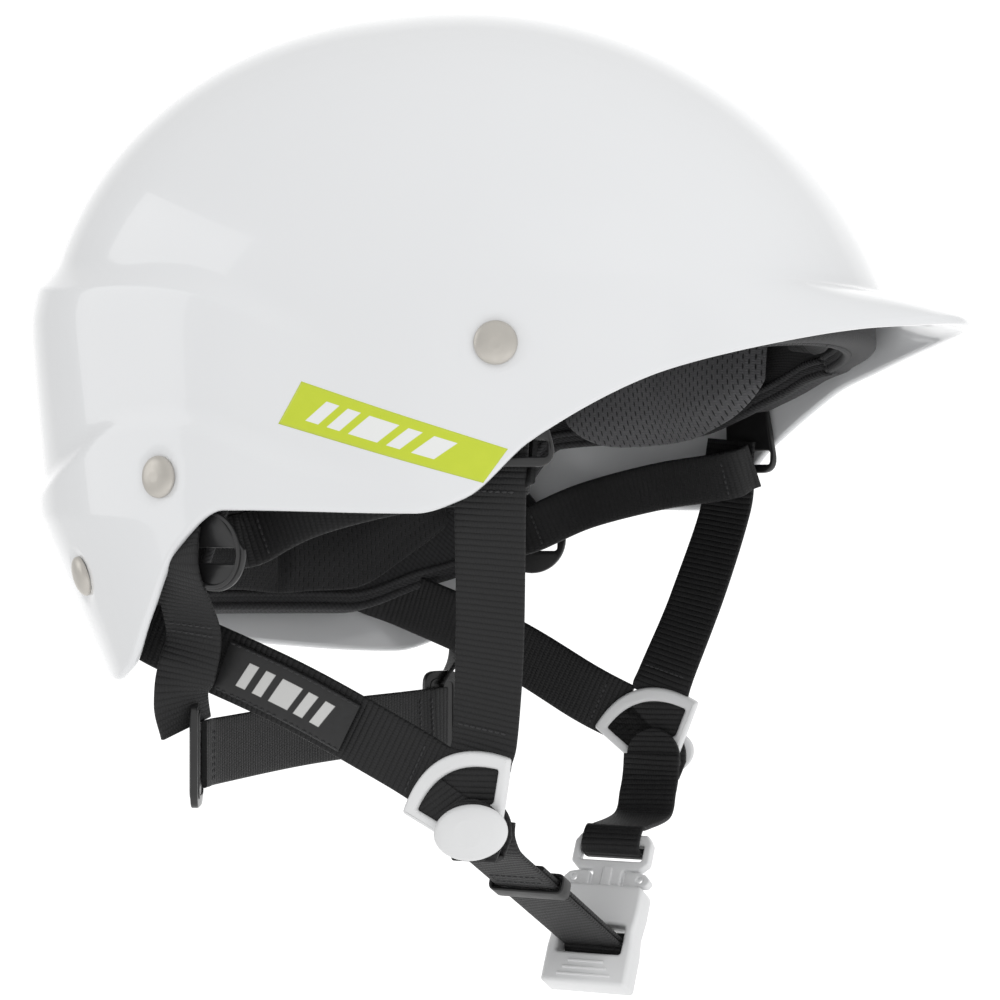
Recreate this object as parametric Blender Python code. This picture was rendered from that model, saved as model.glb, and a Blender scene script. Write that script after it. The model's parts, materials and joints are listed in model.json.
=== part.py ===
"""Water helmet: hard shell with a short brim, impact liner, comfort pads, rivets, hangers,
webbing harness, strap rings and a side-release chin buckle.

The frame is +X to the brim, +Y to the wearer's left, +Z up. The origin is the centre of the
crown pad's flat lower face, which sits on the wearer's head. Sizes below are in millimetres and
angles in degrees; MM turns them into metres where a mesh is made.
"""
import math

import bmesh
import bpy
from mathutils import Matrix, Vector

MM = 0.001

# ---- hard shell: driving dimensions ----
CROWN_Z = 26.0            # outer top of the shell
DOME_BASE_Z = -100.0      # foot of the dome's side curve, below where the wall takes over
CREASE_Z = -63.5          # height where the brim leaves the dome
BRIM_CURVE = 1.6          # how soon the brim levels out below its crease
DOME_POWER = 2.13         # superellipse power of the dome's side view
DOME_FULLNESS = 1.025     # the dome's side curve at its foot, as a share of the wall
PLAN_POWER = 2.25         # superellipse power of the dome's plan view
FRONT_LENGTH = 130.0      # from the wall's centre to the brow
BACK_LENGTH = 134.0       # from the wall's centre to the nape
HALF_WIDTH = 113.0
CENTRE_X = 4.0            # the wall's centre, ahead of the origin
LEAN = 0.075              # how far the dome's centre moves back for each millimetre up
SHELL_THICKNESS = 3.0

# Control points over the angle from the brim (0) round to the nape (180).
RIM_Z = (
    (0, -73.5), (14, -76), (24, -80.5), (40, -90.5), (56, -108.5), (65, -124.5), (72, -128.6),
    (100, -127.8), (107.5, -138), (114, -158), (120.5, -173.5), (129, -178.4), (180, -171),
)
BRIM_OVERHANG = ((0, 29), (6, 27.5), (14, 19.6), (24, 8.2), (31, 2.8), (40, -2.5), (56, -3.6), (74, 0))
UPPER_STEP_Z = ((84, -79), (90, -75.5), (99, -68), (108, -62.5), (116, -60.5), (132, -59.5), (150, -56.5))
UPPER_STEP = ((82, 0), (104, 3.0), (130, 4.4), (180, 4.6))
LOWER_STEP_Z = (
    (74, -119.5), (88, -114.6), (97, -108.5), (104, -103), (111, -101), (118, -102), (133, -114),
    (145, -121), (180, -126),
)
LOWER_STEP = ((72, 0), (97, 1.8), (125, 2.2), (180, 2.0))
NAPE_DRAW_IN = ((100, 0), (150, 1))   # share of the inward slope below the dome
NAPE_SLOPE = 0.09         # inward for each millimetre down, from 70 below the origin
TUCK_SLOPE = 0.295        # more of the same, from 130 below
LINER_EDGE_Z = (
    (0, -79), (30, -83), (50, -94), (66, -103), (80, -105), (97, -107), (106, -124), (114, -145),
    (126, -150), (141, -160), (180, -162),
)

# ---- liner and pads ----
LINER_OUTER_DEPTH = 4.0
LINER_INNER_DEPTH = 15.4
POCKETS = {"temple": (42.0, 19.0), "side": (42.0, 21.0), "nape": (34.0, 15.0)}   # reach, half width
PAD_DEPTH = 17.2
PAD_THICKNESS = 11.0      # of the brow, temple and rear pads in their middle
PAD_EDGE = 4.0            # and at their edges
CROWN_PAD_RADIUS = 36.0

# ---- webbing ----
WEB_WIDTH = 20.0
WEB_THICKNESS = 1.6

# ---- rivets: angle round the shell and height ----
RIVETS = {"temple": (61.0, -82.5), "side": (110.5, -118.5), "nape": (132.5, -147.5)}
RIVET_HEAD_RADIUS = 6.2
RIVET_SHANK_RADIUS = 2.3
RIVET_STACKS = {"temple": 6.7, "side": 7.7, "nape": 5.6}   # what each one clamps, shell included
FIT_GAP = 0.4

# ---- strap rings, -1 right and +1 left: the left one is drawn up by its shorter chin strap ----
RING_PIVOTS = {-1: Vector((42.0, -74.2, -218.0)), 1: Vector((37.0, 74.2, -209.3))}
RING_TILTS = {-1: 26.0, 1: 14.0}   # how far each fan leans back, to bisect its two straps
CHIN_AXIS = (RING_PIVOTS[1] - RING_PIVOTS[-1]).normalized()
LEFT_SHIFT = Vector((-5.0, -1.5, 8.7))   # of the left slings' lower ends from their mirror images
RING_THICKNESS = 3.6
BUTTON_RADIUS = 11.6      # half the button's long axis
BUTTON_OVAL = 0.69        # its short axis as a share of the long one
BUTTON_RISE = 10.0        # how far the long axis rises towards the front
POST_RADIUS = 2.1         # of the button's post through the ring's foot

# ---- buckle ----
STRAP_HINGE = Vector((41.0, -66.5, -223.5))   # where the right chin strap bends behind its tab
BUCKLE_BAR = Vector((38.0, 21.5, -264.5))     # bar that the right chin strap wraps
INSERTION = 13.0          # how deep the plug sits in the socket
BUCKLE_HALF_WIDTH = 14.2
SOCKET_LENGTH = 33.0
BAR_T = 15.0              # bar's distance from the socket's lower end
BAR_H = -1.4              # bar's distance behind the buckle's middle plane


# ---------------------------------------------------------------- numbers and curves
def through(points, x):
    """Value at x of a monotone cubic through (x, y) points, level at both ends."""
    if x <= points[0][0]:
        return points[0][1]
    if x >= points[-1][0]:
        return points[-1][1]
    i = max(k for k in range(len(points) - 1) if points[k][0] <= x)

    def slope(k):
        if k in (0, len(points) - 1):
            return 0.0
        before = (points[k][1] - points[k - 1][1]) / (points[k][0] - points[k - 1][0])
        after = (points[k + 1][1] - points[k][1]) / (points[k + 1][0] - points[k][0])
        return 0.0 if before * after <= 0 else 2 * before * after / (before + after)

    (x0, y0), (x1, y1) = points[i], points[i + 1]
    h = x1 - x0
    t = (x - x0) / h
    rise = t * t * (3 - 2 * t)
    return (y0 * (1 - rise) + y1 * rise
            + h * slope(i) * t * (1 - t) ** 2 - h * slope(i + 1) * t * t * (1 - t))


def smoothstep(x):
    x = min(max(x, 0.0), 1.0)
    return x * x * (3 - 2 * x)


def folded(angle):
    """The same angle measured from the brim on either side, 0 to 180."""
    return abs((angle + 180.0) % 360.0 - 180.0)


# ---------------------------------------------------------------- the shell's surface
def rim_z(angle):
    return through(RIM_Z, folded(angle))


def wall_radius(angle, z, steps=True, brim=True):
    """Distance of the shell's outer face from its own centre line."""
    side = folded(angle)
    c, s = math.cos(math.radians(side)), math.sin(math.radians(side))
    length = FRONT_LENGTH if c > 0 else BACK_LENGTH
    plan = (abs(c / length) ** PLAN_POWER + (s / HALF_WIDTH) ** PLAN_POWER) ** (-1 / PLAN_POWER)
    up = min(max((z - DOME_BASE_Z) / (CROWN_Z - DOME_BASE_Z), 0.0), 1.0)
    dome = DOME_FULLNESS * (1 - up ** DOME_POWER) ** (1 / DOME_POWER)
    soft = 0.5 * (1 + dome - math.sqrt((1 - dome) ** 2 + 0.0003))
    radius = plan * max(soft, 0.0)
    if steps:
        radius += through(UPPER_STEP, side) * smoothstep((through(UPPER_STEP_Z, side) + 4 - z) / 9)
        radius += through(LOWER_STEP, side) * smoothstep((through(LOWER_STEP_Z, side) + 3 - z) / 6)
    draw_in = NAPE_SLOPE * max(-70 - z, 0) + TUCK_SLOPE * max(-130 - z, 0)
    radius -= through(NAPE_DRAW_IN, side) * draw_in
    if z < CREASE_Z:
        down = min((CREASE_Z - z) / (CREASE_Z - rim_z(angle)), 1.0)
        overhang = through(BRIM_OVERHANG, side)
        if not brim:
            overhang = min(overhang, 0.0)
        radius += overhang * (1 - (1 - down) ** BRIM_CURVE)
    return radius


def wall_point(angle, z, **kind):
    radius = wall_radius(angle, z, **kind)
    x = CENTRE_X - LEAN * max(z + 60.0, 0.0)
    a = math.radians(angle)
    return Vector((x + radius * math.cos(a), radius * math.sin(a), z))


def dome_z(share):
    """Height at a share of the way from the crown (0) to the crease (1), even in arc."""
    low = math.asin(((CREASE_Z - DOME_BASE_Z) / (CROWN_Z - DOME_BASE_Z)) ** (DOME_POWER / 2))
    arc = math.pi / 2 - (math.pi / 2 - low) * share
    return DOME_BASE_Z + (CROWN_Z - DOME_BASE_Z) * math.sin(arc) ** (2 / DOME_POWER)


def wall_normal(angle, z, **kind):
    step_a, step_z = 0.6, 0.6
    along = wall_point(angle + step_a, z, **kind) - wall_point(angle - step_a, z, **kind)
    high = min(z + step_z, CROWN_Z - 0.01)
    up = wall_point(angle, high, **kind) - wall_point(angle, z - step_z, **kind)
    return along.cross(up).normalized()


def inside(angle, z, depth, **kind):
    """Point at a depth below the shell's outer face."""
    return wall_point(angle, z, **kind) - wall_normal(angle, z, **kind) * depth


# ---------------------------------------------------------------- making objects
def clear_scene():
    for obj in list(bpy.data.objects):
        bpy.data.objects.remove(obj, do_unlink=True)


def material(name, colour, roughness, metallic=0.0):
    mat = bpy.data.materials.new(name)
    mat.use_nodes = True
    shader = mat.node_tree.nodes["Principled BSDF"]
    shader.inputs["Base Color"].default_value = (*colour, 1.0)
    shader.inputs["Roughness"].default_value = roughness
    shader.inputs["Metallic"].default_value = metallic
    return mat


def make(name, verts, faces, mat, pivot=(0, 0, 0), sharp=35.0):
    """A closed object from points in millimetres, with its origin at pivot."""
    pivot = Vector(pivot)
    mesh = bpy.data.meshes.new(name)
    mesh.from_pydata([(Vector(v) - pivot) * MM for v in verts], [], faces)
    bm = bmesh.new()
    bm.from_mesh(mesh)
    bmesh.ops.recalc_face_normals(bm, faces=bm.faces)
    if bm.calc_volume(signed=True) < 0:
        bmesh.ops.reverse_faces(bm, faces=bm.faces)
    bm.to_mesh(mesh)
    bm.free()
    mesh.shade_smooth()
    mesh.set_sharp_from_angle(angle=math.radians(sharp))
    obj = bpy.data.objects.new(name, mesh)
    obj.location = pivot * MM
    obj.data.materials.append(mat)
    bpy.context.collection.objects.link(obj)
    return obj


def cut(obj, cutter, operation="DIFFERENCE"):
    """Cut or join with a helper object, which stays out of the model."""
    cutter.hide_render = True
    cutter.display_type = "WIRE"
    mod = obj.modifiers.new(cutter.name, "BOOLEAN")
    mod.operation = operation
    mod.solver = "EXACT"
    mod.object = cutter


def placed(origin, x_axis, z_axis):
    """Local frame in millimetres from an origin, a local X and a local Z direction."""
    z = Vector(z_axis).normalized()
    x = Vector(x_axis)
    x = (x - z * x.dot(z)).normalized()
    y = z.cross(x)
    frame = Matrix((x, y, z)).transposed().to_4x4()
    frame.translation = origin
    return frame


def prism(name, outline, low, high, frame, mat, pivot=(0, 0, 0)):
    """An outline in local X, Y, extruded along local Z from low to high."""
    count = len(outline)
    verts = [frame @ Vector((x, y, low)) for x, y in outline]
    verts += [frame @ Vector((x, y, high)) for x, y in outline]
    faces = [tuple(range(count)), tuple(range(count, 2 * count))]
    faces += [(i, (i + 1) % count, count + (i + 1) % count, count + i) for i in range(count)]
    return make(name, verts, faces, mat, pivot)


def turned(name, profile, frame, mat, segments=14, pivot=(0, 0, 0), oval=1.0, round_below=0.0):
    """A profile of (radius, height) points, from axis to axis, turned about local Z.

    Rings wider than round_below are narrowed by oval along local Y."""
    verts = [frame @ Vector((0, 0, profile[0][1]))]
    rings = profile[1:-1]
    for radius, height in rings:
        narrow = oval if radius > round_below else 1.0
        for k in range(segments):
            a = 2 * math.pi * k / segments
            here = Vector((radius * math.cos(a), narrow * radius * math.sin(a), height))
            verts.append(frame @ here)
    verts.append(frame @ Vector((0, 0, profile[-1][1])))
    last = len(verts) - 1
    faces = []
    for k in range(segments):
        n = (k + 1) % segments
        faces.append((0, 1 + k, 1 + n))
        for r in range(len(rings) - 1):
            a = 1 + r * segments
            faces.append((a + k, a + n, a + segments + n, a + segments + k))
        a = 1 + (len(rings) - 1) * segments
        faces.append((last, a + n, a + k))
    return make(name, verts, faces, mat, pivot)


def washer(name, inner, outer, low, high, frame, mat, segments=14, pivot=(0, 0, 0)):
    """A flat ring about local Z."""
    verts = []
    for radius, height in ((inner, low), (outer, low), (outer, high), (inner, high)):
        for k in range(segments):
            a = 2 * math.pi * k / segments
            verts.append(frame @ Vector((radius * math.cos(a), radius * math.sin(a), height)))
    faces = []
    for r in range(4):
        a, b = r * segments, (r + 1) % 4 * segments
        faces += [(a + k, a + (k + 1) % segments, b + (k + 1) % segments, b + k)
                  for k in range(segments)]
    return make(name, verts, faces, mat, pivot)


def spline_stations(stations, per_span):
    """Points and width directions along a Catmull-Rom curve through the stations."""
    points = [Vector(p) for p, _ in stations]
    sides = [Vector(w).normalized() for _, w in stations]
    out = []
    for i in range(len(points) - 1):
        before = points[i - 1] if i else points[0] * 2 - points[1]
        after = points[i + 2] if i + 2 < len(points) else points[-1] * 2 - points[-2]
        steps = per_span + (1 if i == len(points) - 2 else 0)
        for k in range(steps):
            t = k / per_span
            here = 0.5 * (2 * points[i] + (points[i + 1] - before) * t
                          + (2 * before - 5 * points[i] + 4 * points[i + 1] - after) * t ** 2
                          + (3 * points[i] - before - 3 * points[i + 1] + after) * t ** 3)
            out.append((here, sides[i].lerp(sides[i + 1], t).normalized()))
    return out


def ribbon(name, stations, mat, width=WEB_WIDTH, thickness=WEB_THICKNESS, per_span=3,
           pivot=(0, 0, 0)):
    """Flat webbing through stations of (point, width direction)."""
    path = spline_stations(stations, per_span)
    verts = []
    for i, (here, side) in enumerate(path):
        ahead = path[min(i + 1, len(path) - 1)][0] - path[max(i - 1, 0)][0]
        side = (side - ahead * (side.dot(ahead) / ahead.length_squared)).normalized()
        up = ahead.normalized().cross(side)
        for a, b in ((-1, -1), (1, -1), (1, 1), (-1, 1)):
            verts.append(here + side * (a * width / 2) + up * (b * thickness / 2))
    faces = [(0, 1, 2, 3), tuple(range(len(verts) - 4, len(verts)))]
    for i in range(len(path) - 1):
        a, b = 4 * i, 4 * i + 4
        faces += [(a + k, a + (k + 1) % 4, b + (k + 1) % 4, b + k) for k in range(4)]
    return make(name, verts, faces, mat, pivot)


def mirrored(point, side):
    """Right-side coordinates taken to the given side: -1 right, +1 left."""
    return Vector((point[0], -side * point[1], point[2]))


def mirrored_stations(stations, side):
    return [(mirrored(p, side), mirrored(w, side)) for p, w in stations]


def sling_stations(stations, side):
    """A sling's stations on the given side, the left ones following their higher ring."""
    out = []
    for point, across in mirrored_stations(stations, side):
        share = smoothstep((-158.0 - point.z) / 42.0) if side > 0 else 0.0
        out.append((point + LEFT_SHIFT * share, across))
    return out


# ---------------------------------------------------------------- shell, liner, pads
COLUMNS = 56
DOME_ROWS = 7


def dome_solid(name, edge_curve, outer_depth, inner_depth, wall_rows, mat, **kind):
    """A closed double-walled cap from the crown down to an edge curve."""
    verts, faces = [], []
    rows = DOME_ROWS + wall_rows
    for depth in (outer_depth, inner_depth):
        verts.append(Vector((CENTRE_X - LEAN * (CROWN_Z + 60), 0, CROWN_Z - depth)))
        for row in range(1, rows + 1):
            for column in range(COLUMNS):
                angle = 360.0 * column / COLUMNS
                if row <= DOME_ROWS:
                    z = dome_z(row / DOME_ROWS)
                else:
                    low = through(edge_curve, folded(angle))
                    z = CREASE_Z + (low - CREASE_Z) * (row - DOME_ROWS) / wall_rows
                verts.append(inside(angle, z, depth, **kind) if depth else wall_point(angle, z, **kind))
    layer = 1 + rows * COLUMNS
    for base in (0, layer):
        for c in range(COLUMNS):
            n = (c + 1) % COLUMNS
            faces.append((base, base + 1 + c, base + 1 + n))
            for r in range(rows - 1):
                a = base + 1 + r * COLUMNS
                faces.append((a + c, a + n, a + COLUMNS + n, a + COLUMNS + c))
    edge = 1 + (rows - 1) * COLUMNS
    for c in range(COLUMNS):
        n = (c + 1) % COLUMNS
        faces.append((edge + c, edge + n, layer + edge + n, layer + edge + c))
    return make(name, verts, faces, mat, sharp=30)


def curved_pad(name, middle, half_angle, top_z, mat, lift=2.0, columns=10, rows=5):
    """A cushion that follows the liner's inner face, thickest in its middle."""
    plain = {"steps": False, "brim": False}
    edge, more = PAD_EDGE, PAD_THICKNESS - PAD_EDGE
    verts = []
    for layer in (0, 1):
        for i in range(columns + 1):
            u = 2 * i / columns - 1
            angle = middle + half_angle * u
            low = through(LINER_EDGE_Z, folded(angle)) + lift
            centre, half = (top_z + low) / 2, (top_z - low) / 2 * (1 - 0.35 * abs(u) ** 5)
            for j in range(rows + 1):
                v = 2 * j / rows - 1
                bulge = edge + more * (1 - u ** 4) * (1 - v ** 4)
                depth = PAD_DEPTH + layer * bulge
                verts.append(inside(angle, centre + half * v, depth, **plain))
    faces = []
    layer = (columns + 1) * (rows + 1)
    for i in range(columns):
        for j in range(rows):
            a = i * (rows + 1) + j
            quad = (a, a + rows + 1, a + rows + 2, a + 1)
            faces.append(quad)
            faces.append(tuple(layer + q for q in quad))
    rim = [i * (rows + 1) for i in range(columns + 1)]
    rim += [columns * (rows + 1) + j for j in range(1, rows + 1)]
    rim += [i * (rows + 1) + rows for i in range(columns - 1, -1, -1)]
    rim += [j for j in range(rows - 1, 0, -1)]
    for k, a in enumerate(rim):
        b = rim[(k + 1) % len(rim)]
        faces.append((a, b, layer + b, layer + a))
    return make(name, verts, faces, mat, sharp=50)


def rivet_frame(which, side):
    """Frame at a rivet: local Z out of the shell, local Y up along it."""
    angle, z = RIVETS[which]
    point = mirrored(wall_point(-angle, z), side)
    out = mirrored(wall_normal(-angle, z), side)
    return placed(point, out.cross(Vector((0, 0, 1))) * -1, out)


def make_rivets(satin, steel):
    """Six shouldered rivets and the washers that they are set on, in pairs."""
    for which in RIVETS:
        stack = RIVET_STACKS[which]
        for side, word in ((-1, "right"), (1, "left")):
            frame = rivet_frame(which, side)
            head, base = RIVET_HEAD_RADIUS, 0.45
            profile = [(0, base + 2.2), (head * 0.55, base + 1.9), (head * 0.88, base + 1.1),
                       (head, base + 0.3), (head - 0.3, base), (RIVET_SHANK_RADIUS, base),
                       (RIVET_SHANK_RADIUS, -stack - 1.7), (3.9, -stack - 1.9), (3.2, -stack - 2.9),
                       (0, -stack - 3.0)]
            turned(f"rivet_{which}_{word}", profile, frame, satin)
            washer(f"washer_{which}_{word}", RIVET_SHANK_RADIUS + FIT_GAP, 6.0, -stack - 1.3,
                   -stack, frame, steel)


def stadium(radius, down, half_width, count=8, shift=0.0):
    """A round top about the origin, widening to a straight foot at -down."""
    points = [(radius * math.cos(math.pi * k / count), radius * math.sin(math.pi * k / count))
              for k in range(count + 1)]
    return points + [(shift - half_width, -down), (shift + half_width, -down)]


def make_shell_and_liner(white, foam):
    """The shell with its rivet holes, and the liner with a pocket behind each rivet and hanger."""
    shell = dome_solid("outer_shell", RIM_Z, 0.0, SHELL_THICKNESS, 9, white)
    liner = dome_solid("foam_liner", LINER_EDGE_Z, LINER_OUTER_DEPTH, LINER_INNER_DEPTH, 5, foam,
                       steps=False, brim=False)
    for which in RIVETS:
        for side, word in ((-1, "right"), (1, "left")):
            frame = rivet_frame(which, side)
            hole = RIVET_SHANK_RADIUS + FIT_GAP
            cut(shell, turned(f"drill_{which}_{word}", [(0, 8), (hole, 8), (hole, -8), (0, -8)],
                              frame, white))
            reach, spread = POCKETS[which]
            cut(liner, prism(f"pocket_{which}_{word}", stadium(12.5, reach, spread), -24, -1, frame,
                             foam))


def make_pads(side_mesh, black_mesh):
    frame = placed(Vector((0, 0, 0)), (1, 0, 0), (0, 0, 1))
    r = CROWN_PAD_RADIUS
    turned("crown_pad", [(0, 8.2), (r * 0.55, 7.2), (r * 0.93, 4.6), (r + 1.5, 2.6), (r + 1.0, 0.8),
                         (r, 0), (0, 0)], frame, side_mesh, segments=24)
    curved_pad("brow_pad", 0, 43, -38, black_mesh)
    curved_pad("temple_pad_right", -70, 22.5, -52, side_mesh, columns=8, lift=1.0)
    curved_pad("temple_pad_left", 70, 22.5, -52, side_mesh, columns=8, lift=1.0)
    curved_pad("rear_pad", 180, 62, -84, black_mesh, columns=14)


# ---------------------------------------------------------------- hangers
def lean_in(frame, degrees):
    """The frame turned so that its foot leans towards the head."""
    return frame @ Matrix.Rotation(math.radians(degrees), 4, "X")


def make_hangers(plastic):
    """Tabs between shell and liner: one on each temple rivet, one on each rear side rivet."""
    for side, word in ((-1, "right"), (1, "left")):
        frame = rivet_frame("temple", side)
        forward = 6.0 if frame.to_3x3().col[0].x > 0 else -6.0
        outline = stadium(8.5, 34.0, 11.5, shift=forward)
        front = prism(f"front_hanger_{word}", outline, -6.3, -4.1, frame, plastic)
        hole = RIVET_SHANK_RADIUS + FIT_GAP
        cut(front, turned(f"drill_front_{word}", [(0, 0), (hole, 0), (hole, -12), (0, -12)], frame,
                          plastic))
        slot = [(forward - 8, -31), (forward + 8, -31), (forward + 8, -26.5), (forward - 8, -26.5)]
        cut(front, prism(f"slot_front_{word}", slot, -12, 0, frame, plastic))

        frame = rivet_frame("side", side)
        forward = 13.5 if frame.to_3x3().col[0].x > 0 else -13.5
        disc, arm, reach = 12.0, 8.0, 21.0
        outline = [(arm * math.cos(math.pi * k / 6), arm * math.sin(math.pi * k / 6))
                   for k in range(7)]
        outline += [(forward + disc * math.cos(math.pi + math.pi * k / 8),
                     -reach + disc * math.sin(math.pi + math.pi * k / 8)) for k in range(9)]
        rear = prism(f"rear_hanger_{word}", outline, -6.8, -4.6, lean_in(frame, 5.0), plastic)
        cut(rear, turned(f"drill_rear_{word}", [(0, 0), (hole, 0), (hole, -12), (0, -12)], frame,
                         plastic))
        slot = [(forward - 9, -reach - 4), (forward + 9, -reach - 4),
                (forward + 9, -reach + 0.5), (forward - 9, -reach + 0.5)]
        cut(rear, prism(f"slot_rear_{word}", slot, -12, 0, frame, plastic))


# ---------------------------------------------------------------- webbing above the rings
NAPE_PIVOT = Vector((-45.0, 0.0, -137.0))

FRONT_SLING = (((55.5, -93.2, -112), (1, 0.3, 0)), ((54.5, -92.4, -128), (1, 0.22, 0)),
               ((50, -83.0, -162), (1, 0.1, 0.05)), ((44.5, -71.3, -193), (1, 0, 0.05)),
               ((42.5, -70.9, -208), (1, 0, 0.05)))
REAR_SLING = (((-70, -79.5, -159), (0.45, -0.1, 0.88)), ((-56, -82.6, -165), (0.42, 0.05, 0.9)),
              ((-16, -79.0, -181), (0.42, 0, 0.9)), ((18, -69.2, -198), (0.5, 0, 0.87)),
              ((34, -68.0, -206), (0.55, 0, 0.84)))
INTERCONNECT = (((60, -83.0, -117), (0.1, 0.2, 1)), ((30, -93.0, -120.5), (0.1, 0.1, 1)),
                ((2, -96.0, -127), (0.15, 0, 1)), ((-17, -94.5, -135), (0.2, 0, 1)))
DROP_STRAP = (((-38.5, -96.0, -142), (1, 0.1, 0)), ((-39.5, -92.8, -163), (1, 0.12, 0)),
              ((-42.5, -91.6, -175), (0.85, 0.5, 0)), ((-45.5, -90.4, -183.3), (0.4, 0.9, 0)))
NAPE_PLATE = Vector((-46.0, -81.0, -199.5))


def make_upper_webbing(webbing, rubber, plastic):
    for side, word in ((-1, "right"), (1, "left")):
        ribbon(f"front_sling_{word}", sling_stations(FRONT_SLING, side), webbing)
        ribbon(f"rear_sling_{word}", sling_stations(REAR_SLING, side), webbing)
        ribbon(f"interconnect_strap_{word}", mirrored_stations(INTERCONNECT, side), webbing,
               width=16.0)
        pivot = mirrored((NAPE_PIVOT.x, -95, NAPE_PIVOT.z), side)
        ribbon(f"drop_strap_{word}", mirrored_stations(DROP_STRAP, side), webbing, pivot=pivot,
               width=17.0)
        across = mirrored((-0.42, 0.91, 0), side)
        frame = placed(mirrored(NAPE_PLATE, side), across, across.cross(Vector((0, 0, 1))))
        prism(f"nape_plate_{word}", rounded_box(7.5, -15.5, 15.5, 3.0), -1.1, 1.1, frame, plastic,
              pivot=pivot)
    across = (((-44.4, -76.5, -199.5), (0, 0, 1)), ((-49.5, -60, -200), (0, 0, 1)),
              ((-54, 0, -200), (0, 0, 1)), ((-49.5, 60, -200), (0, 0, 1)),
              ((-44.4, 76.5, -199.5), (0, 0, 1)))
    ribbon("nape_strap", across, webbing, pivot=NAPE_PIVOT)
    label = [(p + Vector((0, -2.3, 0)), w) for p, w in
             spline_stations([(Vector(p), w) for p, w in REAR_SLING], 6)[10:19:2]]
    ribbon("label_patch", label, rubber, width=17.0, thickness=1.6, per_span=2)


# ---------------------------------------------------------------- strap rings and tabs
def ring_outline(half, shoulder, sagitta, foot, top_count=9, foot_count=7):
    """A fan: an arched top between two shoulders, and a round foot about the origin."""
    points = []
    for k in range(top_count):
        u = 1 - 2 * k / (top_count - 1)
        points.append((half * u, shoulder + sagitta * (1 - u * u)))
    for k in range(foot_count):
        a = math.pi * (1.08 + 0.84 * k / (foot_count - 1))
        points.append((foot * math.cos(a), foot * math.sin(a)))
    return points


def ring_frame(side):
    """Frame at a ring's pivot: local Z outwards, local Y up the fan's middle."""
    tilt = math.radians(RING_TILTS[side])
    up = Vector((-math.sin(tilt), 0, math.cos(tilt)))
    out = CHIN_AXIS * side
    return placed(RING_PIVOTS[side], up.cross(out), out)


def make_rings(acetal):
    for side, word in ((-1, "right"), (1, "left")):
        frame = ring_frame(side)
        half = RING_THICKNESS / 2
        ring = prism(f"strap_ring_{word}", ring_outline(19.0, 13.8, 8.7, 8.4), -half, half, frame,
                     acetal)
        window = ring_outline(14.4, 12.6, 5.3, 4.5)[:9] + [(-8.6, 4.6), (8.6, 4.6)]
        cut(ring, prism(f"window_{word}", window, -9, 9, frame, acetal))
        hole = POST_RADIUS + FIT_GAP
        cut(ring, turned(f"drill_ring_{word}", [(0, 9), (hole, 9), (hole, -9), (0, -9)], frame, acetal))


def make_chin_tabs(webbing, acetal):
    """Folded webbing tabs that clasp each ring's foot, and the round caps that close them."""
    for side, word in ((-1, "right"), (1, "left")):
        pivot = RING_PIVOTS[side]
        upright = placed(pivot, (1, 0, 0) if side < 0 else (-1, 0, 0), CHIN_AXIS * side)
        radius, layer, reach = 9.2, 1.5, 10.9
        half = RING_THICKNESS / 2
        outline = [(radius * math.cos(math.pi * k / 8), radius * math.sin(math.pi * k / 8))
                   for k in range(9)]
        outline += [(-radius, -reach + 1.5), (-radius + 1.5, -reach), (radius - 1.5, -reach),
                    (radius, -reach + 1.5)]
        tab = prism(f"chin_tab_{word}", outline, -half - FIT_GAP - layer, half + FIT_GAP + layer,
                    upright, webbing, pivot=pivot)
        slot = [(-12, -9.2), (12, -9.2), (12, 12), (-12, 12)]
        cut(tab, prism(f"tab_slot_{word}", slot, -half - FIT_GAP, half + FIT_GAP, upright, webbing))
        post = POST_RADIUS + FIT_GAP
        cut(tab, turned(f"tab_drill_{word}", [(0, 9), (post, 9), (post, -9), (0, -9)], upright,
                        webbing))
        face = half + FIT_GAP + layer + FIT_GAP
        cap = [(0, face + 3.4), (BUTTON_RADIUS * 0.5, face + 3.1), (BUTTON_RADIUS * 0.86, face + 2.1),
               (BUTTON_RADIUS, face + 0.9), (BUTTON_RADIUS - 0.6, face), (POST_RADIUS, face),
               (POST_RADIUS, -face), (5.0, -face), (4.6, -face - 1.0), (0, -face - 1.1)]
        rise = math.radians(BUTTON_RISE)
        cap_frame = placed(pivot, (math.cos(rise), 0, math.sin(rise)), CHIN_AXIS * side)
        turned(f"ring_button_{word}", cap, cap_frame, acetal, segments=20, pivot=pivot,
               oval=BUTTON_OVAL, round_below=5.5)


# ---------------------------------------------------------------- buckle and chin straps
def buckle_axis():
    """Insertion direction: the chord of the arc that the bar swings through on release."""
    arm = BUCKLE_BAR - STRAP_HINGE
    radius = math.hypot(arm.y, arm.z)
    start = math.atan2(arm.z, arm.y) - math.pi / 2
    chord = start - 0.5 * INSERTION / radius
    return Vector((0, -math.cos(chord), -math.sin(chord)))


def buckle_frame():
    """Local X across, local Y from the socket's lower end to the plug, local Z outwards."""
    along = buckle_axis()
    out = Vector((1, 0, 0)).cross(along)
    origin = BUCKLE_BAR - along * BAR_T - out * BAR_H
    return placed(origin, (1, 0, 0), out)


def rounded_box(half, low, high, clip):
    """An oblong with clipped corners in local X, Y."""
    return [(-half + clip, low), (half - clip, low), (half, low + clip), (half, high - clip),
            (half - clip, high), (-half + clip, high), (-half, high - clip), (-half, low + clip)]


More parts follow.
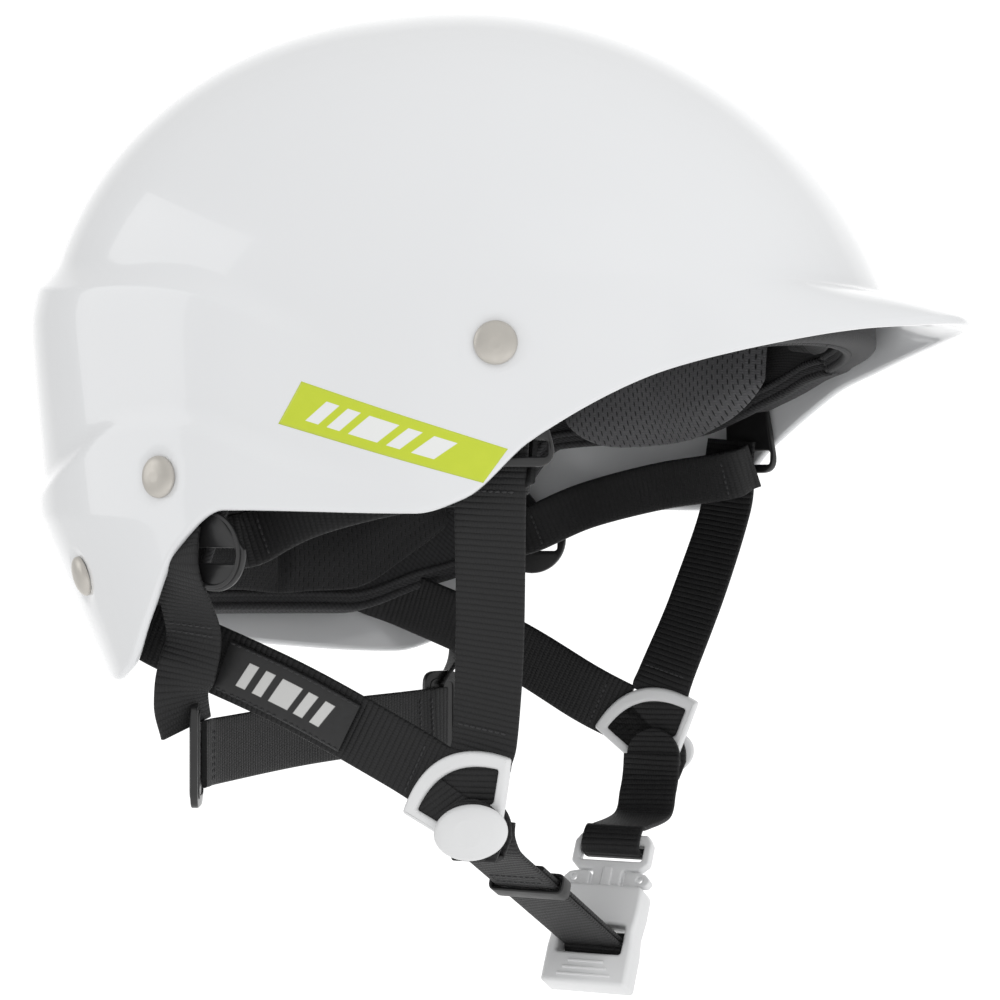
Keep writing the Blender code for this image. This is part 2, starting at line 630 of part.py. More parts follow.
def make_socket(acetal):
    frame = buckle_frame()
    socket = prism("buckle_socket", rounded_box(BUCKLE_HALF_WIDTH, 0, SOCKET_LENGTH, 3.0), -4.6, 5.0,
                   frame, acetal, pivot=BUCKLE_BAR)
    bar, reach = 1.8, 4.8
    floor, mouth = SOCKET_LENGTH - INSERTION - 0.6, SOCKET_LENGTH + 10
    bore = [(-11.4, floor + 1.0), (11.4, floor + 1.0), (11.4, mouth), (-11.4, mouth)]
    cut(socket, prism("socket_bore", bore, -2.9, 3.1, frame, acetal))
    window = [(-10.8, BAR_T - reach), (10.8, BAR_T - reach), (10.8, BAR_T + reach),
              (-10.8, BAR_T + reach)]
    cut(socket, prism("socket_window", window, -9, 9, frame, acetal))
    bar_frame = placed(frame @ Vector((0, BAR_T, BAR_H)), (0, 1, 0), (1, 0, 0))
    cut(socket, turned("socket_bar", [(0, -11.6), (bar, -11.6), (bar, 11.6), (0, 11.6)], bar_frame,
                       acetal), "UNION")


def make_plug(acetal):
    frame = buckle_frame()
    plug_pivot = RING_PIVOTS[-1]
    m = SOCKET_LENGTH
    half = [(4.0, m - INSERTION + 1), (5.0, m - INSERTION + 2.5), (5.0, m + 6), (10.5, m + 6),
            (13.2, m + 8.5), (13.2, m + 15.4), (11.4, m + 18.2)]
    outline = half + [(-x, y) for x, y in reversed(half)]
    plug = prism("buckle_plug", outline, -1.9, 1.9, frame, acetal, pivot=plug_pivot)
    slot = [(-10.6, m + 9.2), (10.6, m + 9.2), (10.6, m + 14.6), (-10.6, m + 14.6)]
    cut(plug, prism("plug_slot", slot, -9, 9, frame, acetal))
    for sign, word in ((1, "front"), (-1, "rear")):
        arm = [(5.9, 5.5), (5.9, -3.0), (6.6, -10.6), (8.0, -11.6), (9.8, -10.8), (10.4, -8.6),
               (9.6, -3.0), (9.9, 0.7), (13.8, 1.0), (15.0, 2.8), (13.0, 4.9), (10.2, 5.5)]
        prism(f"buckle_prong_{word}", [(sign * x, m + y) for x, y in arm], -1.8, 1.8, frame, acetal,
              pivot=frame @ Vector((sign * 8.0, m + 5.2, 0)))


def make_chin_straps(webbing, rubber):
    frame = buckle_frame()
    hinge, bar = STRAP_HINGE, BUCKLE_BAR
    arm = bar - hinge
    along = Vector((0, arm.y, arm.z)).normalized()
    strap_frame = placed(Vector((hinge.x, hinge.y, hinge.z)), arm, Vector((1, 0, 0)).cross(along))
    reach = arm.length
    doubled, single, loop, wrap = 1.6, 1.0, 2.5, 4.2
    side = [(0, -doubled), (reach - 34, -doubled), (reach - 28, -single), (reach - 5, -single)]
    count = 12
    gap_angle = math.asin(single / wrap)
    side += [(reach - wrap * math.cos(gap_angle + 2 * (math.pi - gap_angle) * k / count),
              -wrap * math.sin(gap_angle + 2 * (math.pi - gap_angle) * k / count))
             for k in range(count + 1)]
    side += [(reach - 28, single), (reach - 34, doubled), (0, doubled), (-doubled, 0)]
    turned_frame = placed(strap_frame.translation, strap_frame.to_3x3().col[0],
                          strap_frame.to_3x3().col[1])
    strap = prism("chin_strap_right", side, -WEB_WIDTH / 2, WEB_WIDTH / 2, turned_frame, webbing,
                  pivot=hinge)
    bore_frame = placed(bar, (0, 1, 0), (1, 0, 0))
    cut(strap, turned("strap_eye", [(0, -14), (loop, -14), (loop, 14), (0, 14)], bore_frame, webbing))

    keeper_at = strap_frame @ Vector((36, 0, 0))
    keeper = placed(keeper_at, strap_frame.to_3x3().col[1], arm)
    band = prism("strap_keeper", [(-12.4, -3.6), (12.4, -3.6), (12.4, 3.6), (-12.4, 3.6)], -3.2, 3.2,
                 keeper, rubber, pivot=keeper_at)
    cut(band, prism("keeper_hole", [(-10.6, -2.2), (10.6, -2.2), (10.6, 2.2), (-10.6, 2.2)], -9, 9,
                    keeper, rubber))

    down = RING_PIVOTS[1]
    left = [((down.x - 0.5, 72.0, -225.0), (1, 0, 0)), ((37.2, 61.0, -228.0), (1, 0, 0))]
    for t, h in ((21.5, -0.5), (19.5, 3.2), (13.5, 4.0), (11.9, -0.5)):
        left.append((frame @ Vector((0, SOCKET_LENGTH + t, h)), (1, 0, 0)))
    ribbon("chin_strap_left", left, webbing, per_span=3, pivot=down)


def main():
    clear_scene()
    white = material("gloss_white_shell", (0.86, 0.87, 0.88), 0.12)
    foam = material("black_foam", (0.02, 0.02, 0.02), 0.8)
    side_mesh = material("grey_mesh_fabric", (0.06, 0.06, 0.065), 0.9)
    black_mesh = material("black_mesh_fabric", (0.015, 0.015, 0.016), 0.9)
    webbing = material("black_webbing", (0.015, 0.015, 0.016), 0.75)
    plastic = material("black_plastic", (0.02, 0.02, 0.02), 0.35)
    rubber = material("black_rubber", (0.025, 0.025, 0.025), 0.6)
    acetal = material("pale_acetal", (0.68, 0.68, 0.68), 0.4)
    satin = material("satin_nickel", (0.62, 0.6, 0.57), 0.32, 1.0)
    steel = material("plated_steel", (0.5, 0.5, 0.5), 0.4, 1.0)
    make_shell_and_liner(white, foam)
    make_pads(side_mesh, black_mesh)
    make_rivets(satin, steel)
    make_hangers(plastic)
    make_upper_webbing(webbing, rubber, plastic)
    make_rings(acetal)
    make_chin_tabs(webbing, acetal)
    make_socket(acetal)
    make_plug(acetal)
    make_chin_straps(webbing, rubber)


main()
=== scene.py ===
import json
import math

import bmesh
import bpy
import numpy as np
from mathutils import Matrix, Vector


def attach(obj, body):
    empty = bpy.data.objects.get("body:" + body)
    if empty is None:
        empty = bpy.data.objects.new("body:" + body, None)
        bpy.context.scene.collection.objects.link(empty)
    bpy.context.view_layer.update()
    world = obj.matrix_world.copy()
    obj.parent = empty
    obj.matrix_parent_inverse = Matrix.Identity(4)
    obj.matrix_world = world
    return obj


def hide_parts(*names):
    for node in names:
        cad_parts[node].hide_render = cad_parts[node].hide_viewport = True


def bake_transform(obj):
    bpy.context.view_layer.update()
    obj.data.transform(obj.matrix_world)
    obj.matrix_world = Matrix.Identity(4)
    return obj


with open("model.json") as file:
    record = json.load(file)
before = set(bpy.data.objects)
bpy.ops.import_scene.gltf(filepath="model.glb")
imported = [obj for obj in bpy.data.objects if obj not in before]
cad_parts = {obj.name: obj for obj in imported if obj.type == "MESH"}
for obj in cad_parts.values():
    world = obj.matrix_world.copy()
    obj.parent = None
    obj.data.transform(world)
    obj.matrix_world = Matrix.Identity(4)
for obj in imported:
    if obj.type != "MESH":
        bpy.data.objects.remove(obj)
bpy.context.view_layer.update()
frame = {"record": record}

MM = 0.001
BODY_OF = {node: body for body, nodes in frame["record"]["behaviour"]["bodies"].items() for node in nodes}
SIDES = ((-1, "right"), (1, "left"))

# ---- the shell's driving sizes, in millimetres and degrees ----
CROWN_Z, DOME_BASE_Z, CREASE_Z = 26.0, -100.0, -63.5
BRIM_CURVE, DOME_POWER, DOME_FULLNESS, PLAN_POWER = 1.6, 2.13, 1.025, 2.25
FRONT_LENGTH, BACK_LENGTH, HALF_WIDTH = 130.0, 134.0, 113.0
CENTRE_X, LEAN, SHELL_THICKNESS = 4.0, 0.075, 3.0
RIM_Z = ((0, -73.5), (14, -76), (24, -80.5), (40, -90.5), (56, -108.5), (65, -124.5), (72, -128.6),
         (100, -127.8), (107.5, -138), (114, -158), (120.5, -173.5), (129, -178.4), (180, -171))
BRIM_OVERHANG = ((0, 29), (6, 27.5), (14, 19.6), (24, 8.2), (31, 2.8), (40, -2.5), (56, -3.6), (74, 0))
UPPER_STEP_Z = ((84, -79), (90, -75.5), (99, -68), (108, -62.5), (116, -60.5), (132, -59.5), (150, -56.5))
UPPER_STEP = ((82, 0), (104, 3.0), (130, 4.4), (180, 4.6))
LOWER_STEP_Z = ((74, -119.5), (88, -114.6), (97, -108.5), (104, -103), (111, -101), (118, -102),
                (133, -114), (145, -121), (180, -126))
LOWER_STEP = ((72, 0), (97, 1.8), (125, 2.2), (180, 2.0))
NAPE_DRAW_IN, NAPE_SLOPE, TUCK_SLOPE = ((100, 0), (150, 1)), 0.09, 0.295
LINER_EDGE_Z = ((0, -79), (30, -83), (50, -94), (66, -103), (80, -105), (97, -107), (106, -126),
                (114, -149), (126, -158), (141, -167), (180, -166))
LINER_OUTER, LINER_INNER, PAD_DEPTH = 4.2, 15.2, 17.4
RIVETS = {"temple": (61.0, -82.5), "side": (110.5, -118.5), "nape": (132.5, -147.5)}
RIVET_STACKS = {"temple": 6.7, "side": 7.7, "nape": 5.6}
RING_PIVOTS = {-1: Vector((42.0, -74.2, -218.0)), 1: Vector((37.0, 74.2, -209.3))}
RING_TILTS, RING_HALF = {-1: 26.0, 1: 14.0}, 1.8
CHIN_AXIS = (RING_PIVOTS[1] - RING_PIVOTS[-1]).normalized()
LEFT_SHIFT = Vector((-5.0, 0.0, 8.7))   # of the left slings' lower ends from their mirror images
STRAP_HINGE, BUCKLE_BAR = Vector((41.0, -66.5, -223.5)), Vector((38.0, 21.5, -264.5))
INSERTION, SOCKET_LENGTH, BAR_T, BAR_H = 13.0, 33.0, 15.0, -1.4
TAB_RADIUS, TAB_GAP, TAB_FACE = 9.2, 2.25, 3.7
BUTTON_OVAL, BUTTON_RISE, BUTTON_FACE = 0.69, 10.0, 4.1
# Right chin strap: each layer's offset, the radius of its loop round the bar, the keeper's distance.
STRAP_LAYER, BAR_WRAP, KEEPER_AT = 0.82, 3.3, 36.0
PUFF_CAP = 1.6            # how far the simulation may move a cushion's points
CAMERA_AT, CAMERA_TURN = (0.3795, -0.7830, -0.125), 25.0   # metres and degrees


# ---------------------------------------------------------------- numbers and the shell's surface
def through(points, x):
    """Values at x of a monotone cubic through (x, y) points, level at both ends."""
    px, py = np.array(points, float).T
    step = np.diff(px)
    rise = np.diff(py) / step
    slope = np.zeros(len(px))
    both = rise[:-1] * rise[1:]
    total = np.where(both > 0, rise[:-1] + rise[1:], 1.0)
    slope[1:-1] = np.where(both > 0, 2 * both / total, 0.0)
    x = np.clip(np.asarray(x, float), px[0], px[-1])
    i = np.clip(np.searchsorted(px, x, side="right") - 1, 0, len(px) - 2)
    h = step[i]
    t = (x - px[i]) / h
    s = t * t * (3 - 2 * t)
    return (py[i] * (1 - s) + py[i + 1] * s + h * slope[i] * t * (1 - t) ** 2
            - h * slope[i + 1] * t * t * (1 - t))


def smoothstep(x):
    x = np.clip(x, 0.0, 1.0)
    return x * x * (3 - 2 * x)


def rim_z(angle):
    return through(RIM_Z, np.abs((np.asarray(angle, float) + 180) % 360 - 180))


def swell(t):
    """A step's profile going down: slow at first, with a crisp lower edge."""
    a = np.clip(t, 0.0, 1.6) ** 1.7
    return 0.5 * (a + 1 - np.sqrt((a - 1) ** 2 + 0.008))


def wall(angle, z, steps=True, brim=True):
    """Points of the outer face (or of the plain inner form), as an array."""
    angle, z = np.broadcast_arrays(np.asarray(angle, float), np.asarray(z, float))
    side = np.abs((angle + 180) % 360 - 180)
    c, s = np.cos(np.radians(side)), np.sin(np.radians(side))
    length = np.where(c > 0, FRONT_LENGTH, BACK_LENGTH)
    plan = (np.abs(c / length) ** PLAN_POWER + (s / HALF_WIDTH) ** PLAN_POWER) ** (-1 / PLAN_POWER)
    up = np.clip((z - DOME_BASE_Z) / (CROWN_Z - DOME_BASE_Z), 0.0, 1.0)
    dome = DOME_FULLNESS * (1 - up ** DOME_POWER) ** (1 / DOME_POWER)
    soft = 0.5 * (1 + dome - np.sqrt((1 - dome) ** 2 + 0.0003))
    radius = plan * np.maximum(soft, 0.0)
    if steps:
        radius = radius + through(UPPER_STEP, side) * swell((through(UPPER_STEP_Z, side) + 5 - z) / 8.5)
        radius = radius + through(LOWER_STEP, side) * swell((through(LOWER_STEP_Z, side) + 4 - z) / 6.5)
    draw_in = NAPE_SLOPE * np.maximum(-70 - z, 0) + TUCK_SLOPE * np.maximum(-130 - z, 0)
    radius = radius - through(NAPE_DRAW_IN, side) * draw_in
    overhang = through(BRIM_OVERHANG, side)
    if not brim:
        overhang = np.minimum(overhang, 0.0)
    span = CREASE_Z - rim_z(angle)
    fillet = 2.2 / (1 + np.abs(overhang) * BRIM_CURVE / span)
    below = CREASE_Z - z
    down = np.clip(0.5 * (below + np.sqrt(below ** 2 + fillet ** 2)) / span, 0.0, 1.0)
    down = np.where(below < -4, 0.0, down)
    radius = radius + overhang * (1 - (1 - down) ** BRIM_CURVE)
    a = np.radians(angle)
    x = CENTRE_X - LEAN * np.maximum(z + 60.0, 0.0)
    return np.stack([x + radius * np.cos(a), radius * np.sin(a), z], -1)


def wall_normal(angle, z, **kind):
    angle, z = np.broadcast_arrays(np.asarray(angle, float), np.asarray(z, float))
    along = wall(angle + 0.5, z, **kind) - wall(angle - 0.5, z, **kind)
    up = wall(angle, np.minimum(z + 0.4, CROWN_Z - 0.01), **kind) - wall(angle, z - 0.4, **kind)
    normal = np.cross(along, up)
    return normal / np.maximum(np.linalg.norm(normal, axis=-1, keepdims=True), 1e-9)


def inside(angle, z, depth, **kind):
    depth = np.asarray(depth, float)[..., None] if np.ndim(depth) else depth
    return wall(angle, z, **kind) - wall_normal(angle, z, **kind) * depth


def dome_z(share):
    """Height at a share of the way from the crown (0) to the crease (1), even in arc."""
    low = math.asin(((CREASE_Z - DOME_BASE_Z) / (CROWN_Z - DOME_BASE_Z)) ** (DOME_POWER / 2))
    arc = math.pi / 2 - (math.pi / 2 - low) * np.asarray(share, float)
    return DOME_BASE_Z + (CROWN_Z - DOME_BASE_Z) * np.sin(arc) ** (2 / DOME_POWER)


def mirrored(point, side):
    return Vector((point[0], -side * point[1], point[2]))


def placed(origin, x_axis, z_axis):
    """Local frame in millimetres from an origin, a local X and a local Z direction."""
    z = Vector(z_axis).normalized()
    x = Vector(x_axis)
    x = (x - z * x.dot(z)).normalized()
    made = Matrix((x, z.cross(x), z)).transposed().to_4x4()
    made.translation = Vector(origin)
    return made


def rivet_frame(which, side):
    angle, z = RIVETS[which]
    point = mirrored(wall(-angle, z), side)
    out = mirrored(wall_normal(-angle, z), side)
    return placed(point, out.cross(Vector((0, 0, 1))) * -1, out)


def ring_frame(side):
    tilt = math.radians(RING_TILTS[side])
    up = Vector((-math.sin(tilt), 0, math.cos(tilt)))
    out = CHIN_AXIS * side
    return placed(RING_PIVOTS[side], up.cross(out), out)


def buckle_frame():
    arm = BUCKLE_BAR - STRAP_HINGE
    chord = math.atan2(arm.z, arm.y) - math.pi / 2 - 0.5 * INSERTION / math.hypot(arm.y, arm.z)
    along = Vector((0, -math.cos(chord), -math.sin(chord)))
    out = Vector((1, 0, 0)).cross(along)
    return placed(BUCKLE_BAR - along * BAR_T - out * BAR_H, (1, 0, 0), out)


# ---------------------------------------------------------------- node graphs
class Field:
    """A shader value that can be used in sums, so that a pattern reads as a formula."""

    def __init__(self, tree, socket):
        self.tree, self.socket = tree, socket

    def op(self, kind, *others):
        node = self.tree.nodes.new("ShaderNodeMath")
        node.operation = kind
        for slot, value in zip(node.inputs, (self,) + others):
            if isinstance(value, Field):
                self.tree.links.new(value.socket, slot)
            else:
                slot.default_value = value
        return Field(self.tree, node.outputs[0])

    def clamped(self):
        node = self * 1.0
        node.socket.node.use_clamp = True
        return node


def field_operation(kind):
    return lambda field, *others: field.op(kind, *others)


for label, kind in (("__add__", "ADD"), ("__sub__", "SUBTRACT"), ("__mul__", "MULTIPLY"),
                    ("__truediv__", "DIVIDE"), ("sin", "SINE"), ("abs", "ABSOLUTE"), ("floor", "FLOOR"),
                    ("fract", "FRACT"), ("power", "POWER"), ("most", "MAXIMUM")):
    setattr(Field, label, field_operation(kind))


class Surface:
    """One Principled material under construction."""

    def __init__(self, name, roughness, metallic=0.0, **sockets):
        self.material = bpy.data.materials.new(name)
        self.material.use_nodes = True
        self.tree = self.material.node_tree
        self.shader = self.tree.nodes["Principled BSDF"]
        self.shader.inputs["Roughness"].default_value = roughness
        self.shader.inputs["Metallic"].default_value = metallic
        for label, value in sockets.items():
            self.shader.inputs[label.replace("_", " ")].default_value = value

    def node(self, kind, **settings):
        made = self.tree.nodes.new(kind)
        for key, value in settings.items():
            setattr(made, key, value)
        return made

    def coordinate(self, which):
        split = self.node("ShaderNodeSeparateXYZ")
        self.tree.links.new(self.node("ShaderNodeTexCoord").outputs[which], split.inputs[0])
        return [Field(self.tree, out) for out in split.outputs]

    def noise(self, scale, detail=3.0, roughness=0.5):
        made = self.node("ShaderNodeTexNoise")
        made.inputs["Scale"].default_value = scale
        made.inputs["Detail"].default_value = detail
        made.inputs["Roughness"].default_value = roughness
        self.tree.links.new(self.node("ShaderNodeTexCoord").outputs["Object"], made.inputs["Vector"])
        return Field(self.tree, made.outputs[0])

    def mixed(self, share, low, high):
        """A colour between two, by a field from 0 to 1."""
        made = self.node("ShaderNodeMix", data_type="RGBA")
        self.tree.links.new(share.socket, made.inputs["Factor"])
        for slot, colour in ((6, low), (7, high)):
            if isinstance(colour, Field):
                self.tree.links.new(colour.socket, made.inputs[slot])
            else:
                made.inputs[slot].default_value = (*colour, 1.0)
        return Field(self.tree, made.outputs[2])

    def colour(self, field):
        self.tree.links.new(field.socket, self.shader.inputs["Base Color"])

    def rough(self, field):
        self.tree.links.new(field.socket, self.shader.inputs["Roughness"])

    def bump(self, height, distance, strength=1.0):
        made = self.node("ShaderNodeBump")
        made.inputs["Strength"].default_value = strength
        made.inputs["Distance"].default_value = distance
        self.tree.links.new(height.socket, made.inputs["Height"])
        self.tree.links.new(made.outputs[0], self.shader.inputs["Normal"])


def shell_material():
    s = Surface("gloss_shell", 0.2, Coat_Weight=0.9, Coat_Roughness=0.03, IOR=1.5)
    s.colour(s.mixed(s.noise(9.0, 4.0), (0.80, 0.81, 0.825), (0.84, 0.85, 0.86)))
    s.rough(s.noise(60.0, 5.0) * 0.12 + 0.16)
    s.bump(s.noise(140.0, 2.0), 0.00012, 0.35)
    return s.material


def bars(u, v, centres, slant, tall, soft):
    """Slanted bars of (centre, half width) along u, as a mask from 0 to 1."""
    lean = u - (v - 0.5) * slant
    mask = None
    for centre, half in centres:
        bar = ((lean - centre).abs() * -1.0 + half) * soft
        mask = bar if mask is None else mask.most(bar)
    inside_tall = ((v - 0.5).abs() * -1.0 + tall) * (soft * 0.4)
    return mask.clamped() * inside_tall.clamped()


def decal_material():
    s = Surface("lime_decal", 0.3, Coat_Weight=0.6, Coat_Roughness=0.06)
    u, v, _ = s.coordinate("UV")
    mask = bars(u, v, ((0.17, 0.035), (0.28, 0.035), (0.43, 0.075), (0.58, 0.035), (0.72, 0.055)), 0.09,
                0.27, 260.0)
    lime = s.mixed(s.noise(220.0, 3.0), (0.55, 0.66, 0.018), (0.61, 0.71, 0.026))
    s.colour(s.mixed(mask, lime, (0.86, 0.87, 0.86)))
    s.rough(s.noise(300.0, 3.0) * 0.12 + 0.24)
    s.bump(mask * -1.0 + s.noise(500.0, 2.0) * 0.15, 0.00005, 0.6)
    return s.material


def webbing_material():
    """Flat tape: ribs across, each a row of warp floats. UV in millimetres."""
    s = Surface("black_tape", 0.7, Sheen_Weight=0.03, Sheen_Roughness=0.4)
    u, v, _ = s.coordinate("UV")
    wave = s.noise(90.0, 2.0) * 0.5
    row = (v + wave) / 1.75
    rib = (row * math.pi).sin().abs().power(0.55)
    shift = row.floor() * 0.5
    float_ = ((u / 0.9 + shift) * math.pi).sin().abs().power(0.7)
    height = rib * 0.68 + rib * float_ * 0.32
    fuzz = s.noise(2600.0, 3.0)
    # Colour darker in the grooves and lighter on the rib and float tops is painted shade and painted
    # highlight; the fuzz adds random fibre tone.
    s.colour(s.mixed((height * 0.8 + fuzz * 0.35).clamped(), (0.001, 0.001, 0.0011),
                     (0.009, 0.009, 0.0098)))
    s.rough(fuzz * 0.25 + 0.54)
    s.bump(height + fuzz * 0.22, 0.00034, 0.85)
    return s.material


def mesh_material(name, cloth, slit_shade, sheen):
    """Knitted spacer mesh: staggered slits with painted shade in them, and painted highlight on the raised
    threads. UV in millimetres.
    """
    s = Surface(name, 0.85, Sheen_Weight=sheen, Sheen_Roughness=0.5)
    u, v, _ = s.coordinate("UV")
    row = u / 1.6
    across = (v / 3.2 + row.floor() * 0.5).fract() - 0.5
    down = row.fract() - 0.5
    slit = ((across * 2.9).power(2.0) + (down * 5.6).power(2.0)) * -1.0 + 1.0
    slit = (slit * 1.6).clamped()
    thread = ((u * 4.2).sin() * 0.5 + 0.5) * ((v * 7.8).sin() * 0.5 + 0.5)
    fuzz = s.noise(1500.0, 4.0)
    # Lighter on the raised threads: painted highlight, with random fibre tone from the fuzz.
    tone = s.mixed((fuzz * 0.6 + thread * 0.4).clamped(), tuple(c * 0.72 for c in cloth),
                   tuple(c * 1.25 for c in cloth))
    # The slits take a dark colour: painted shade in the openings.
    s.colour(s.mixed(slit, tone, slit_shade))
    s.bump(slit * -1.0 + thread * 0.25 + fuzz * 0.2, 0.0005, 0.8)
    return s.material


def lining_material():
    """The liner's knitted cover, with fine diagonal ribs. UV in millimetres."""
    s = Surface("liner_cover", 0.8, Sheen_Weight=0.07, Sheen_Roughness=0.45)
    u, v, _ = s.coordinate("UV")
    rib = ((u * 0.62 + v * 0.78) * (math.pi / 1.15)).sin().abs().power(0.6)
    cross = ((u * 0.78 - v * 0.62) * (math.pi / 1.9)).sin().abs()
    fuzz = s.noise(1400.0, 4.0)
    height = rib * 0.6 + cross * 0.25 + fuzz * 0.25
    # Colour darker in the grooves and lighter on the rib tops is painted shade and painted highlight; the
    # fuzz adds random fibre tone.
    s.colour(s.mixed(height.clamped(), (0.003, 0.003, 0.0032), (0.03, 0.03, 0.032)))
    s.bump(height, 0.0004, 0.8)
    return s.material


def moulded_material(name, dark, light, roughness, coat, bump=0.00006):
    """A moulded plastic or rubber with a fine grain and slight handling marks."""
    s = Surface(name, roughness, Coat_Weight=coat, Coat_Roughness=0.25)
    s.colour(s.mixed(s.noise(70.0, 5.0), dark, light))
    s.rough(s.noise(260.0, 5.0) * 0.22 + (roughness - 0.11))
    s.bump(s.noise(900.0, 4.0), bump, 0.5)
    return s.material


def metal_material(name, tone, roughness, scratch):
    s = Surface(name, roughness, 1.0)
    s.colour(s.mixed(s.noise(240.0, 4.0), tuple(c * 0.86 for c in tone), tone))
    s.rough(s.noise(700.0, 6.0, roughness=0.7) * scratch + roughness * 0.7)
    s.bump(s.noise(1800.0, 3.0), 0.00003, 0.4)
    return s.material


def thread_material():
    s = Surface("stitch_thread", 0.6, Sheen_Weight=0.1)
    s.colour(s.mixed(s.noise(3000.0, 2.0), (0.006, 0.006, 0.0065), (0.045, 0.045, 0.048)))
    s.bump(s.noise(4500.0, 2.0), 0.00015, 0.7)
    return s.material


def label_material():
    s = Surface("rubber_label", 0.5, Coat_Weight=0.15, Coat_Roughness=0.3)
    u, v, _ = s.coordinate("UV")
    mask = bars(u, v, ((0.2, 0.04), (0.33, 0.04), (0.5, 0.08), (0.66, 0.04), (0.79, 0.04)), 0.09, 0.26,
                200.0)
    black = s.mixed(s.noise(500.0, 4.0), (0.006, 0.006, 0.0062), (0.016, 0.016, 0.017))
    s.colour(s.mixed(mask, black, (0.62, 0.62, 0.61)))
    s.bump(mask + s.noise(900.0, 3.0) * 0.12, 0.0003, 0.9)
    return s.material


WHITE, LIME, TAPE = shell_material(), decal_material(), webbing_material()
GREY_MESH = mesh_material("grey_mesh", (0.115, 0.115, 0.12), (0.012, 0.012, 0.013), 0.15)
BLACK_MESH = mesh_material("black_mesh", (0.013, 0.013, 0.014), (0.002, 0.002, 0.002), 0.06)
LINING, THREAD, LABEL = lining_material(), thread_material(), label_material()
PLASTIC = moulded_material("black_moulding", (0.008, 0.008, 0.008), (0.022, 0.022, 0.023), 0.36, 0.3)
RUBBER = moulded_material("black_rubber_band", (0.007, 0.007, 0.007), (0.018, 0.018, 0.019), 0.52, 0.1,
                          0.00012)
ACETAL = moulded_material("pale_moulding", (0.78, 0.785, 0.79), (0.83, 0.835, 0.84), 0.34, 0.35)
NICKEL = metal_material("satin_cap", (0.66, 0.63, 0.58), 0.34, 0.3)
STEEL = metal_material("plated_washer", (0.5, 0.5, 0.49), 0.4, 0.3)


# ---------------------------------------------------------------- making pieces
def finished(obj, material, node=None, body=None):
    """Gives a piece its material and body, and hides the node it stands for."""
    obj.data.materials.clear()
    obj.data.materials.append(material)
    if body or node:
        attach(obj, body or BODY_OF[node])
    if node:
        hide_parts(node)
    return obj


def linked(name, data):
    """A new object in the scene."""
    obj = bpy.data.objects.new(name, data)
    bpy.context.scene.collection.objects.link(obj)
    return obj


def mesh_piece(name, verts, faces, uvs=None, sharp=None):
    """An object from points in millimetres; uvs holds one pair for each point."""
    mesh = bpy.data.meshes.new(name)
    mesh.from_pydata((np.asarray(verts, float) * MM).tolist(), [], faces)
    mesh.validate()
    if uvs is not None:
        layer = mesh.uv_layers.new(name="UVMap")
        corner = np.empty(len(mesh.loops), np.int32)
        mesh.loops.foreach_get("vertex_index", corner)
        layer.data.foreach_set("uv", np.asarray(uvs, float)[corner].ravel())
    mesh.shade_smooth()
    if sharp:
        mesh.set_sharp_from_angle(angle=math.radians(sharp))
    return linked(name, mesh)


def outward(obj):
    """The piece with all its faces pointing out."""
    bm = bmesh.new()
    bm.from_mesh(obj.data)
    bmesh.ops.recalc_face_normals(bm, faces=bm.faces)
    if bm.calc_volume(signed=True) < 0:
        bmesh.ops.reverse_faces(bm, faces=bm.faces)
    bm.to_mesh(obj.data)
    bm.free()
    return obj


def grid_faces(rows, columns, base=0, wrap=False):
    """Quads over a grid whose rows follow each other; wrap closes each row."""
    across = columns if wrap else columns - 1
    return [(base + r * columns + c, base + r * columns + (c + 1) % columns,
             base + (r + 1) * columns + (c + 1) % columns, base + (r + 1) * columns + c)
            for r in range(rows - 1) for c in range(across)]


def polar_faces(rows, columns):
    """A closed form: a pole, rings of points, and a second pole."""
    last = 1 + (rows - 1) * columns
    faces = [(0, 1 + c, 1 + (c + 1) % columns) for c in range(columns)]
    faces += grid_faces(rows, columns, 1, True)
    return faces + [(last + columns, last + (c + 1) % columns, last + c) for c in range(columns)]


def slab_faces(rows, columns):
    """A closed slab: a grid, a second one over it, and a border round the two."""
    size = rows * columns
    faces = [f[::-1] for f in grid_faces(rows, columns)] + grid_faces(rows, columns, size)
    ring = list(range(columns)) + [r * columns + columns - 1 for r in range(1, rows)]
    ring += [(rows - 1) * columns + c for c in range(columns - 2, -1, -1)]
    ring += [r * columns for r in range(rows - 2, 0, -1)]
    return faces + [(a, b, size + b, size + a) for a, b in zip(ring, ring[1:] + ring[:1])]


def baked(obj):
    """The object's mesh with its modifiers applied."""
    graph = bpy.context.evaluated_depsgraph_get()
    mesh = bpy.data.meshes.new_from_object(obj.evaluated_get(graph))
    old = obj.data
    obj.modifiers.clear()
    obj.data = mesh
    bpy.data.meshes.remove(old)
    return obj


def joined(name, objs):
    """One object from several whose meshes are all in place."""
    bm = bmesh.new()
    for obj in objs:
        bm.from_mesh(obj.data)
    mesh = bpy.data.meshes.new(name)
    bm.to_mesh(mesh)
    bm.free()
    for obj in objs:
        bpy.data.objects.remove(obj, do_unlink=True)
    return linked(name, mesh)


